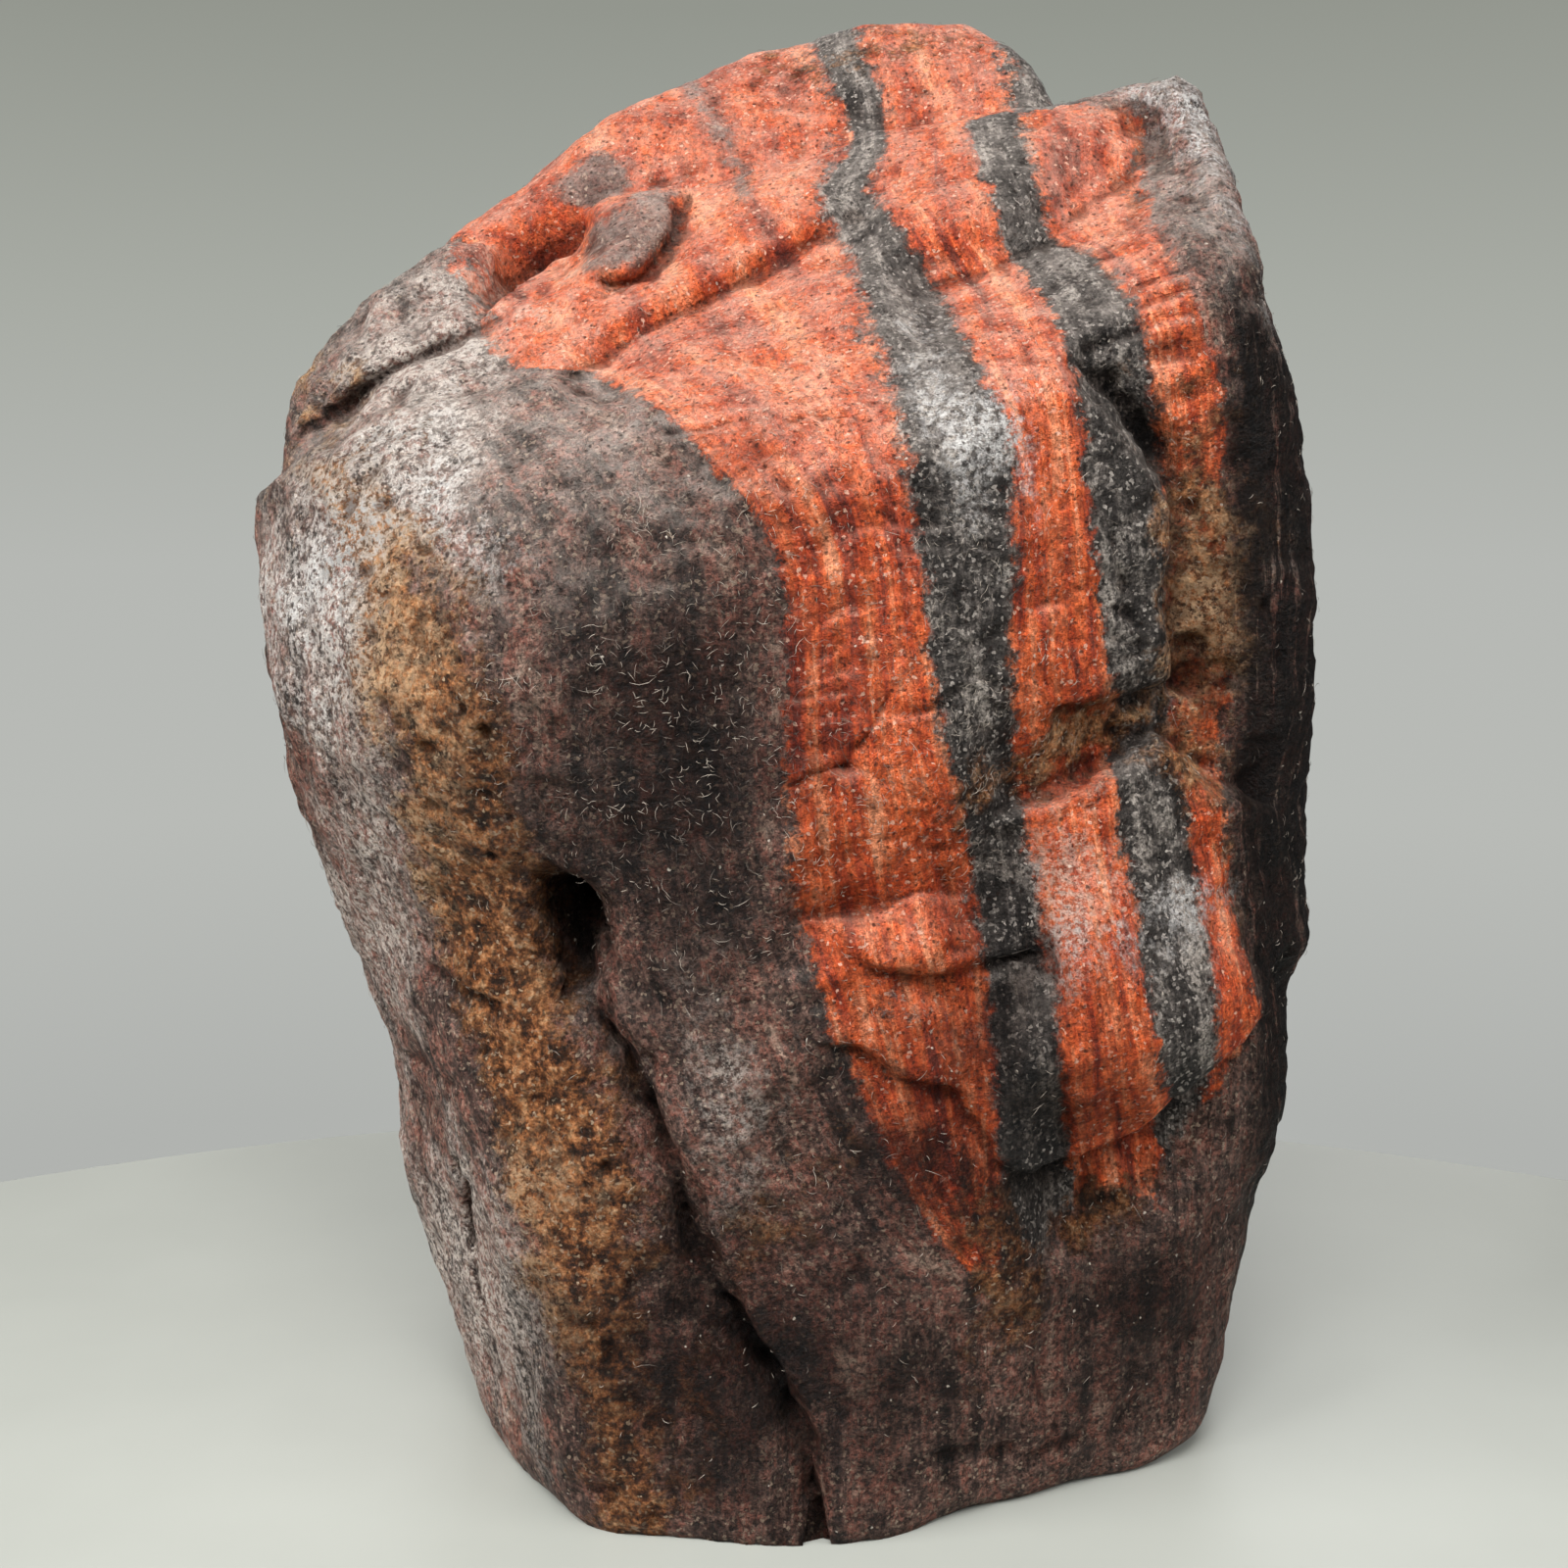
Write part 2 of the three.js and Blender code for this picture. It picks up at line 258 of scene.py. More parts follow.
# %% Cracks, creases and fine steps, laid out the same way
FINE_LEDGES = [
    # right wall of the scoop, and the knob's lower edge with its crack
    ([(-13.4, 85.2), (-14.3, 82.4), (-15.8, 82), (-17.6, 81.3), (-18.7, 78.9), (-20.4, 77.3)], 1.6, 0.4, 2.8),
    ([(-7.2, 86), (-7.6, 82.9), (-9, 80.4), (-10.9, 79.7), (-12.8, 79.6)], 1.0, 2.2, 0.4),
    ([(-12, 81.6), (-10, 82), (-8.6, 82.6)], 0.3, 0.35, 0.4),
    # crack that splits the slab's left end
    ([(-32.2, 69.6), (-30.7, 72), (-28.8, 74)], 0.4, 0.5, 0.8),
    # the foot of the diagonal step and of the step on the upper right are crisp
    ([(-14.4, 73.1), (-12, 74.2), (-7.2, 77.3), (-2.1, 80), (1, 82), (4, 83.4)], 0.3, 0.4, 1.0),
    ([(9, 79.3), (12.4, 79.9), (16.9, 82), (19.5, 84.4), (22.5, 86.6), (24.3, 89), (25, 91)], 0.35, 0.5, 0.9),
    # two hairline cracks across the red slope
    ([(-8, 69.6), (-6.3, 70), (-4, 70.3), (-2.3, 70.8)], 0.3, 0.35, 0.4),
    ([(-0.8, 70.2), (1.7, 70.8), (5.4, 70.4)], 0.25, 0.35, 0.4),
    # where the slope rolls over into the front there is a low lip
    ([(-2, 61.6), (0, 62.8), (2.5, 63.8), (4.5, 64.6), (7.3, 64.6), (10, 65.6)], 0.3, 3.2, 0.7),
    # creases in the red band beside the upper right facet
    ([(20.2, 78.2), (22.6, 79.1), (25, 80)], 0.4, 0.4, 0.7),
    ([(20.6, 77.2), (23, 78), (25.6, 78.9)], 0.35, 0.4, 0.7),
    ([(21, 76.2), (23.5, 76.9), (25.8, 77.2)], 0.3, 0.4, 0.7),
    # folds in the dark band under them
    ([(17, 75), (19.7, 75.5), (22, 76.2)], 0.35, 0.4, 0.9),
    ([(15.6, 74), (18.9, 73.6), (21.6, 73.3)], 0.4, 0.4, 1.2),
    ([(18.4, 73.2), (21.4, 71.5)], 0.4, 0.5, 1.2),
    # a split along the dark slab
    ([(19.2, 65.4), (20.1, 61.6), (21, 59.6), (21.7, 58.1), (22.2, 56)], 0.3, 0.4, 0.8),
    # short crack on the block, and the steps inside the chip
    ([(16.2, 46.5), (18, 47.3), (20, 47.2)], 0.3, 0.35, 0.4),
    ([(5, 37.5), (7.6, 38.1), (9.4, 38.2), (9.8, 38.7), (12.6, 39)], 0.35, 0.8, 0.4),
    ([(5.4, 43.6), (7.9, 45.3), (9.2, 44.8), (9.8, 42.5)], 0.3, 0.5, 1.8),
    ([(-0.5, 41.4), (2.1, 41.2), (5.3, 41.5), (8, 42.4), (11.5, 41.8)], 0.6, 2.5, 0.45),
    # rounded head and foot of the dark band beside the chip
    ([(12, 36.8), (13.2, 37.9), (15, 38.2), (17, 37.7)], 0.5, 2.4, 0.6),
    ([(19, 23.4), (15.2, 23.6), (12.3, 25.5)], 0.6, 3.0, 0.6),
    # the walls of the dark slab, the block and the chip are crisp
    ([(16.6, 74.6), (19.4, 72.4), (22.3, 68.5), (23.7, 66.5), (23.8, 60.9), (24.5, 57), (24.6, 53)],
     0.9, 3, 0.3),
    ([(24.8, 54.3), (19.7, 53.6), (16, 53.2)], 0.5, 2, 0.3),
    ([(13, 47.4), (15.8, 48.3), (21.5, 50.2), (23.2, 51.1), (28, 48.1)], 0.4, 3, 0.3),
    ([(32, 33), (29.7, 30.6), (25.8, 27.9), (24.5, 26.4), (22.7, 25.2), (18.2, 23.8)], 0.9, 3, 0.3),
    # walls of the hole, and the right bank of the groove
    ([(-13.6, 43.8), (-12.7, 43), (-11.9, 41.3), (-10.7, 39.5), (-10.8, 38), (-12.4, 35.6)], 1.8, 0.3, 2.4),
    ([(-13.3, 34.8), (-13.9, 37.4), (-14.1, 39.4), (-14.2, 41.2), (-14.9, 43.6)], 1.8, 0.3, 2.4),
    ([(-11, 37.6), (-10.6, 35), (-9.3, 32.6), (-8.4, 30.4), (-7.2, 28.4), (-6.1, 26), (-5.2, 23),
      (-4.1, 19.6), (-2.9, 16.8), (-1.4, 13.4), (-0.2, 10.8), (1.2, 7.6)], 1.0, 0.35, 1.8),
    # cracks that run out of the small pit in the red band
    ([(-0.5, 49), (1.7, 50.1), (3.6, 50.8), (5.2, 53), (6.8, 56)], 0.25, 0.35, 0.4),
    ([(3.6, 50.8), (5.8, 49.5), (9, 48)], 0.2, 0.4, 0.4),
    # cracks and a small step on the left flank
    ([(-21.6, 23.4), (-20.8, 20.7), (-21.1, 18.1), (-20.9, 15.4)], 1.6, 0.4, 0.5),
    ([(-20.9, 15.8), (-20.6, 13), (-19.6, 10)], 0.4, 0.4, 0.5),
    ([(-23.8, 36.6), (-20.7, 35.9), (-18.9, 35.7), (-16.8, 34.8)], 0.5, 0.4, 1.6),
    ([(-27, 27.4), (-23.5, 28), (-20, 29.3)], 0.4, 1.2, 0.5),
    # crack near the foot on the right
    ([(8.6, 5.6), (12.7, 5.1), (16.8, 4), (21, 3.9)], 0.4, 0.4, 0.9),
    # broken edge on the right rim
    ([(29.4, 60.6), (31.1, 57.9), (31.2, 54.6)], 0.6, 1.4, 0.6),
]
FINE_LEDGE_END = 1.5

FINE_DENTS = [
    (3.6, 50.6, 0.8, 0.7, 0, 1.2),  # three-cornered pit in the red band
    (-9.0, 87.6, 0.9, 0.35, 0, 0.7),  # two small pits beside the knob
    (-6.5, 85.6, 0.4, 0.7, 0, 0.6),
    (-28.1, 71.8, 1.5, 0.8, 40, 0.9),  # pockets under the slab
    (-24.2, 72.7, 1.1, 0.5, 40, 0.8),
    (23.5, 74.6, 2.1, 1.0, 20, 0.7),  # hollows in the red band on the upper right
    (24.2, 72.2, 1.7, 0.7, 12, 0.5),
    (21.9, 69.9, 2.2, 1.1, -55, 1.0),  # dark pocket beside the slab
    (24, 33, 9, 8, 0, -2.0),  # the block's face leans back and to the left
    (-12.6, 41.6, 1.5, 1.5, 0, 2.0),  # the hole drops steeply at its head
    (-9.9, 32.6, 2.0, 0.6, -60, 1.2),  # deep places along the groove
    (-7.6, 27.6, 2.2, 0.6, -80, 1.2),
    (-6.2, 21.6, 2.4, 0.5, -80, 1.0),
    (-3.3, 15.8, 1.8, 0.5, -55, 1.2),
    (-1.4, 11.8, 1.4, 0.5, -45, 1.0),
    (1.0, 8.2, 1.8, 0.5, -65, 1.0),
    (2.0, 2.8, 2.0, 0.6, -80, 1.0),
]
print("fine ledges and dents:", len(FINE_LEDGES), len(FINE_DENTS))


# %% [markdown]
# The unevenness of the faces is a smooth random swell: a value for each corner of an endless
# grid, blended in between. It is worked out from the corner's own numbers, so it is the same every
# time the script runs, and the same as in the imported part. Any amount added to the points gives
# another swell of the same kind, which is how several are kept from rising in the same places.


# %% The swell, and the cuts as heights
def corner_value(i, j, k):
    mixed = np.sin(i * 127.1 + j * 311.7 + k * 74.7) * 43758.5453
    return (mixed - np.floor(mixed)) * 2 - 1


def swell(points, size):
    """Smooth random values from -1 to 1, about one swell for each size of length."""
    scaled = points / size
    corner = np.floor(scaled)
    (i, j, k), (a, b, c) = corner.T, ramp(scaled - corner).T

    def edge(dj, dk):
        low, high = corner_value(i, j + dj, k + dk), corner_value(i + 1, j + dj, k + dk)
        return low + (high - low) * a

    front = edge(0, 0) + (edge(1, 0) - edge(0, 0)) * b
    back = edge(0, 1) + (edge(1, 1) - edge(0, 1)) * b
    return front + (back - front) * c


def line_place(x, z, line):
    """Distance from a line of points, which side it is on, the place along it and its length."""
    nearest, side, along, length = np.full(len(x), np.inf), np.zeros(len(x)), np.zeros(len(x)), 0.0
    for (ax, az), (bx, bz) in zip(line, line[1:]):
        ex, ez = bx - ax, bz - az
        piece = math.hypot(ex, ez)
        t = np.clip(((x - ax) * ex + (z - az) * ez) / piece**2, 0, 1)
        dx, dz = x - ax - t * ex, z - az - t * ez
        distance = np.hypot(dx, dz)
        closer = distance < nearest
        nearest = np.where(closer, distance, nearest)
        side = np.where(closer, ex * dz - ez * dx, side)
        along = np.where(closer, length + t * piece, along)
        length += piece
    return nearest, side, along, length


def ledge_cut(x, z, ledge, end):
    line, depth, left, right = ledge
    reach = max(left, right)
    low, high = np.min(line, axis=0) - reach, np.max(line, axis=0) + reach
    near = (x > low[0]) & (x < high[0]) & (z > low[1]) & (z < high[1])
    nearest, side, along, length = line_place(x[near], z[near], line)
    fade = 1 - nearest / np.where(side >= 0, left, right)
    cut = np.zeros(len(x))
    cut[near] = depth * ramp(fade) * ramp(along / end) * ramp((length - along) / end)
    return cut


def oval(x, z, middle_x, middle_z, long, short, turn):
    """0 in the middle of an oval seen from the front and 1 on its rim."""
    cos, sin = math.cos(math.radians(turn)), math.sin(math.radians(turn))
    u = ((x - middle_x) * cos + (z - middle_z) * sin) / long
    v = ((z - middle_z) * cos - (x - middle_x) * sin) / short
    return np.hypot(u, v)


def dent_cut(x, z, dent):
    return dent[5] * ramp(1 - oval(x, z, *dent[:5]) / DENT_SPREAD)


def inside_oval(points, middle):
    """1 well inside an oval, fading to 0 where it is DENT_SPREAD times as wide."""
    return ramp(DENT_SPREAD - oval(points[:, 0], points[:, 2], *middle))


print("deepest cut of the first ledge, mm:", ledge_cut(*np.array(LEDGES[0][0]).T, LEDGES[0], LEDGE_END).max())


# %% The whole rule
FINE_WANDER = 0.25
FINE_WANDER_SIZE = 1.7
CUTS_REACH = 9.0  # no cut or lump is deeper or higher


def front_share(points):
    """Cuts belong to the front, and leave the foot flat."""
    inward = (FRONT_GONE_Y - points[:, 1]) / (FRONT_GONE_Y - FRONT_WHOLE_Y)
    return ramp(inward) * ramp(points[:, 2] / FOOT_CLEAR)


def front_cuts(points):
    wander = EDGE_WANDER * swell(points, EDGE_WANDER_SIZE)
    x, z = points[:, 0] + wander, points[:, 2] + wander
    cuts = sum(ledge_cut(x, z, ledge, LEDGE_END) for ledge in LEDGES)
    cuts += sum(dent_cut(x, z, dent) for dent in DENTS)
    wander = FINE_WANDER * swell(points, FINE_WANDER_SIZE)
    x, z = points[:, 0] + wander, points[:, 2] + wander
    cuts += sum(ledge_cut(x, z, ledge, FINE_LEDGE_END) for ledge in FINE_LEDGES)
    cuts += sum(dent_cut(x, z, dent) for dent in FINE_DENTS)
    return cuts * front_share(points)


def depth_outside(points):
    distance = plain_body(points)
    near = np.abs(distance) < CUTS_REACH
    close = points[near]
    lumps = sum(height * swell(close, size) for size, height in LUMPS)
    distance[near] += front_cuts(close) - lumps
    return distance


print("the rule at the heart, mm:", depth_outside(HEART[None])[0].round(1))


# %% [markdown]
# ## From the rule to a mesh
# A ray goes out from the heart in each direction of a fine ball, and the vertex goes where the
# ray first leaves the stone. A grid of small cubes could be searched for the surface instead, but
# it would need many times as many points. An icosahedron whose triangles are cut into small ones
# gives nearly even directions. They are then drawn towards the front and the top, where the fine
# steps are, so that the same number of triangles shows more there.

# %% A fine ball of directions
BALL_CUTS = 99  # 20 faces cut into 99 x 99 small triangles each
LOOK_CLOSER = np.array([0.0, -0.42, 0.14])


def ball(cuts):
    golden = (1 + 5**0.5) / 2
    corners = np.array([(0, a, b * golden) for a in (-1, 1) for b in (-1, 1)], float)
    corners = np.concatenate([np.roll(corners, turn, axis=1) for turn in range(3)])
    side = 2.0
    found = [
        (a, b, c)
        for a in range(12) for b in range(a + 1, 12) for c in range(b + 1, 12)
        if all(abs(np.linalg.norm(corners[p] - corners[q]) - side) < 1e-6
               for p, q in ((a, b), (b, c), (c, a)))
    ]
    steps = [(i, j) for i in range(cuts + 1) for j in range(cuts + 1 - i)]
    place = {step: n for n, step in enumerate(steps)}
    weights = np.array([(cuts - i - j, i, j) for i, j in steps]) / cuts
    small = []
    for i, j in steps:
        if i + j < cuts:
            small.append((place[i, j], place[i + 1, j], place[i, j + 1]))
        if i + j < cuts - 1:
            small.append((place[i + 1, j], place[i + 1, j + 1], place[i, j + 1]))
    small = np.array(small)
    points, triangles = [], []
    for face in found:
        a, b, c = corners[list(face)]
        if np.cross(b - a, c - a) @ (a + b + c) < 0:
            face = (face[0], face[2], face[1])
        triangles.append(small + len(steps) * len(points))
        points.append(weights @ corners[list(face)])
    points = np.concatenate(points)
    points /= np.linalg.norm(points, axis=1)[:, None]
    # Corners on the seams between the twenty faces are kept once.
    _, first, where = np.unique(np.round(points, 7), axis=0, return_index=True, return_inverse=True)
    return points[first], where.reshape(-1)[np.concatenate(triangles)]


directions, triangles = ball(BALL_CUTS)
directions = directions + LOOK_CLOSER
directions /= np.linalg.norm(directions, axis=1)[:, None]
print("directions:", len(directions), "triangles:", len(triangles))

# %% Rays from the heart to the surface
RAY_START = 20.0
RAY_STEP = 1.0
RAY_STEPS = 46
HALVINGS = 10


def surface(directions):
    """The place where a ray in each direction first leaves the stone."""
    outside = np.full(len(directions), RAY_START)
    walking = np.arange(len(directions))
    for _ in range(RAY_STEPS):
        gone = depth_outside(HEART + directions[walking] * outside[walking, None]) > 0
        walking = walking[~gone]
        outside[walking] += RAY_STEP
    inside = outside - RAY_STEP
    for _ in range(HALVINGS):
        middle = (inside + outside) / 2
        out = depth_outside(HEART + directions * middle[:, None]) > 0
        outside = np.where(out, middle, outside)
        inside = np.where(out, inside, middle)
    points = HEART + directions * inside[:, None]
    points[:, 2] = np.maximum(points[:, 2], 0)
    return points


skin = surface(directions)
print("skin, mm:", skin.min(0).round(1), skin.max(0).round(1))

# %% [markdown]
# Seen from the heart, a steep step is a thin sliver, so only a few rays find it and its triangles
# come out long. The mesh is therefore relaxed. Again and again each vertex slides along the
# surface towards the middle of its neighbours and is then drawn back onto the rule.


# %% An even mesh
def vertex_normals(points):
    a, b, c = points[triangles.T]
    face = np.cross(b - a, c - a)
    total = np.stack([
        sum(np.bincount(triangles[:, corner], face[:, axis], len(points)) for corner in range(3))
        for axis in range(3)
    ], axis=1)
    return total / np.linalg.norm(total, axis=1)[:, None]


def smoothed(values, rounds):
    """Each vertex takes the mean of its neighbours, again and again."""
    pairs = np.concatenate([triangles[:, [0, 1]], triangles[:, [1, 2]], triangles[:, [2, 0]]])
    count = np.bincount(pairs[:, 0], minlength=len(values))
    for _ in range(rounds):
        values = np.stack([
            np.bincount(pairs[:, 0], column[pairs[:, 1]], len(values)) / count for column in values.T
        ], axis=1)
    return values


PROBE = 0.08
FARTHEST_PULL = 0.25
FLATTEST, STEEPEST = 0.4, 3  # the rule is taken to rise by no less and no more, in mm for each mm


def drawn_back(points, normals):
    here = depth_outside(points)
    steepness = (depth_outside(points + normals * PROBE) - here) / PROBE
    pull = np.clip(-here / np.clip(steepness, FLATTEST, STEEPEST), -FARTHEST_PULL, FARTHEST_PULL)
    return points + normals * pull[:, None]


RELAX_ROUNDS = 14
SLIDE_SHARE = 0.7
ABOVE_FOOT = 3.0  # below this the vertices stay where the rays found them
for _ in range(RELAX_ROUNDS):
    normals = vertex_normals(skin)
    slide = smoothed(skin, 1) - skin
    slide -= normals * (slide * normals).sum(1)[:, None]
    relaxed = drawn_back(skin + SLIDE_SHARE * slide, normals)
    skin = np.where(skin[:, 2:] > ABOVE_FOOT, relaxed, skin)
left_over = np.abs(depth_outside(skin[skin[:, 2] > ABOVE_FOOT]))
print("99 in 100 vertices lie this near the rule, mm:", np.percentile(left_over, 99).round(2))

# %% [markdown]
# ## The layering
# The layers cut right through the stone, nearly upright and running away from the viewer. They
# are described by their edges as seen from the front: a line of points (x, z) for each place where
# one mineral gives way to the next. Between two edges the place in the layering is blended, which
# gives each point of the surface one number in millimetres, the bedding. Every pattern that
# follows the layers, in shape and in colour, is then drawn along that one number.
#
# The lobe behind the crest broke off along a slightly different place, so it has its own edges.

# %% Edges of the bands
BAND_EDGES = [
    # weathered brown to the first red band, which reaches the top's left end
    (0, [(-24.2, 84.5), (-21.8, 80), (-20.2, 77.5), (-19.6, 75.6), (-17, 74), (-14, 73.9), (-12.5, 73.8),
         (-9.6, 72.4), (-6.9, 70.6), (-4.6, 68.6), (-2.5, 66.4), (-1.4, 65), (-0.5, 63), (0, 60),
         (-0.2, 50.5), (0.3, 44.8), (1.3, 39.7), (3, 34.3), (4.8, 29.4), (6.9, 24.8), (9.5, 20.7),
         (12.3, 17.7), (13, 8)]),
    # first dark band
    (8, [(4.4, 93), (4.3, 89), (2.3, 86), (4, 82.2), (4.9, 78.6), (5.9, 74.1), (6.6, 70.6), (7.6, 63.3),
         (8.3, 58), (9.1, 52.9), (11, 45.3), (12.3, 38), (13.1, 29.1), (13.5, 17.5)]),
    (13.5, [(6.9, 93), (6.8, 89), (5.5, 86), (8.2, 82), (10, 78.8), (11, 75.6), (12.1, 72.8), (13.1, 70.5),
            (13.6, 65), (13.5, 56), (14.3, 48.5), (15.8, 41.5), (16.8, 33.8), (17.3, 28.7), (18.4, 24.2),
            (19.2, 21.5)]),
    # second dark band, which is the slab that stands proud
    (18.8, [(12.3, 93), (12.3, 89.4), (12.8, 86.9), (13.6, 84.7), (13.9, 81.9), (15, 80.5), (16.1, 77.6),
            (16.8, 74.5), (17.3, 70.6), (17.7, 66), (18.6, 61.2), (19.3, 56.5), (20.7, 53.3), (20.4, 49.2),
            (20.6, 46), (21.5, 42), (22, 38.3), (22.9, 34.2), (23.7, 30.2), (24.8, 27)]),
    (24, [(15.8, 93), (15.8, 89.7), (16.3, 87.2), (16.7, 85.2), (16.9, 82.3), (19, 81.6), (20.3, 79.2),
          (21.9, 75.8), (22.6, 72), (23.4, 67.5), (23.8, 61), (24.6, 55), (24.2, 50.7), (25.7, 45.6),
          (26.7, 37.6), (27.9, 30), (28, 27.5)]),
    # narrow red band and, beyond it, the dark rim
    (28, [(23.5, 93), (24.2, 89.5), (23.6, 87), (23.4, 84.1), (23.7, 82.5), (25.2, 80), (26, 76),
          (26.6, 72.4), (27.5, 63), (28.3, 52.8), (27.6, 45.5), (29.4, 37.3), (31.3, 29.7), (31.4, 26.7)]),
]
LOBE_BAND_EDGES = [
    (0, [(-30, 100), (-30, 80)]),
    (8, [(1.5, 98.4), (3.6, 93.5), (4.4, 89)]),
    (13.5, [(4.7, 98.5), (6.4, 94.2), (7, 88.8)]),
    (18.8, [(15, 97), (15.4, 93.9), (15.5, 88)]),
    (24, [(26, 100), (26, 80)]),
    (28, [(30, 100), (30, 80)]),
]
LOBE_STARTS_Y = -3.5
LOBE_LOWEST_Z = 84.0
FOLD_HEIGHT = 1.6
FOLD_SIZE = 30.0
FOLD_Y = (-10.0, 20.0)  # the layers are gently folded towards the back


def edge_at(line, z):
    line = sorted(line, key=lambda point: point[1])
    return np.interp(z, [point[1] for point in line], [point[0] for point in line])


def behind_share(points, starts_and_whole):
    """0 at the front, rising to 1 between two places in Y."""
    starts, whole = starts_and_whole
    return ramp((points[:, 1] - starts) / (whole - starts))


def place_between(x, z, bands):
    places = [place for place, _ in bands]
    edges = [edge_at(line, z) for _, line in bands]
    bedding = places[0] + x - edges[0]
    for place, next_place, edge, next_edge in zip(places, places[1:], edges, edges[1:]):
        t = (x - edge) / (next_edge - edge)
        bedding = np.where(x > edge, place + t * (next_place - place), bedding)
    return np.where(x > edges[-1], places[-1] + x - edges[-1], bedding)


def bedding_at(points):
    """The place in the layering, in mm: 0 where the first red band starts, larger to the right."""
    x = points[:, 0] + FOLD_HEIGHT * behind_share(points, FOLD_Y) * swell(points, FOLD_SIZE)
    lobe = (points[:, 1] > LOBE_STARTS_Y) & (points[:, 2] > LOBE_LOWEST_Z)
    front = place_between(x, points[:, 2], BAND_EDGES)
    return np.where(lobe, place_between(x, points[:, 2], LOBE_BAND_EDGES), front)


bedding = bedding_at(skin)
print("bedding, mm:", bedding.min().round(1), bedding.max().round(1))


# %% [markdown]
# ## Rust and weathering
# More numbers go with the bedding. Each says how deep a point lies inside a patch, in millimetres.
# Ochre, where iron has turned to rust, lies in a long strip on the left and in spots, and the brown
# patina covers the lower end of the stone. They could be painted on by hand, but as lines and ovals
# seen from the front they can be read and moved. The material makes their outlines ragged later.

# %% Ochre and patina
OCHRE_LEFT = [(-29, 67.7), (-27, 63.1), (-25.4, 58.6), (-24, 51.6), (-22.9, 45.9), (-22, 41.1),
              (-20.3, 33.6), (-18.5, 28.1), (-17.6, 23.7), (-16, 18.5), (-13.6, 12.9), (-12.4, 6.5),
              (-12.2, 1.9)]
OCHRE_RIGHT = [(-24, 67.7), (-20.5, 63.2), (-18.4, 58.8), (-16.4, 52), (-15.4, 47.6), (-14.9, 43),
               (-14.2, 39.1), (-12.5, 34.4), (-10.6, 30.8), (-9.6, 26), (-8.9, 20), (-9.2, 14),
               (-8.4, 9), (-6.4, 1)]
OCHRE_TOP = 68.0
OCHRE_SPOTS = [
    (-30.4, 71.0, 2.6, 1.8, 40),  # corners of the slab
    (-31.6, 73.4, 1.6, 0.8, 60),
    (26.2, 61, 3.2, 11, 3),  # recess beside the dark slab
    (25.6, 50, 2.4, 1.5, -40),  # top of the block
    (19, 50.9, 5.0, 1.2, 22),  # seat above the block
    (27.6, 46.5, 0.8, 3.5, 15),  # right edge of the block
    (13, 17.5, 1.6, 4.5, 15),  # lower ends of the red bands
    (20.4, 20.2, 2.4, 1.2, 20),
    (-3.6, 15, 0.8, 6, -25),  # right bank of the groove
]
PATINA_TOP = [(8, 17.5), (12, 18.5), (14.4, 18.5), (16.3, 18.1), (19.2, 21.2), (24.5, 21), (26.7, 24.5),
              (28.9, 28), (30.4, 30), (32, 33), (37, 42)]
SPOTS_BACK_Y = 0.0

# Behind, ochre lies in patches of its own, which start at one place in Y and are whole at the next.
OCHRE_BEHIND_SIZE = 16.0
OCHRE_BEHIND_DEPTH = 6.0
OCHRE_BEHIND_SPARSE = 2.0
OCHRE_BEHIND_Y = (0.0, 10.0)
FAR_OUTSIDE = 20.0
PATINA_TOP_BEHIND = 30.0
PATINA_BEHIND_WAVES = 14.0
PATINA_BEHIND_SIZE = 24.0
PATINA_BEHIND_Y = (-5.0, 10.0)


def deepest_spot(points, spots, back_y=SPOTS_BACK_Y):
    x, y, z = points.T
    insides = [(1 - oval(x, z, *spot)) * min(spot[2], spot[3]) for spot in spots]
    return np.maximum.reduce(insides) - np.maximum(y - back_y, 0)


def ochre_at(points):
    x, y, z = points.T
    strip = np.minimum(x - edge_at(OCHRE_LEFT, z), edge_at(OCHRE_RIGHT, z) - x)
    strip = np.minimum(strip, OCHRE_TOP - z) - np.maximum(y - SPOTS_BACK_Y, 0)
    behind = OCHRE_BEHIND_DEPTH * swell(points + 40, OCHRE_BEHIND_SIZE) - OCHRE_BEHIND_SPARSE
    behind -= FAR_OUTSIDE * (1 - behind_share(points, OCHRE_BEHIND_Y))
    return np.maximum.reduce([strip, deepest_spot(points, OCHRE_SPOTS), behind])


def patina_at(points):
    front = np.interp(points[:, 0], *np.array(PATINA_TOP).T) - points[:, 2]
    waves = PATINA_BEHIND_WAVES * swell(points + 80, PATINA_BEHIND_SIZE)
    behind = PATINA_TOP_BEHIND + waves - points[:, 2]
    return front + (behind - front) * behind_share(points, PATINA_BEHIND_Y)


ochre = ochre_at(skin)
patina = patina_at(skin)
print("share of the skin in ochre and in patina:", (ochre > 0).mean().round(2), (patina > 0).mean().round(2))
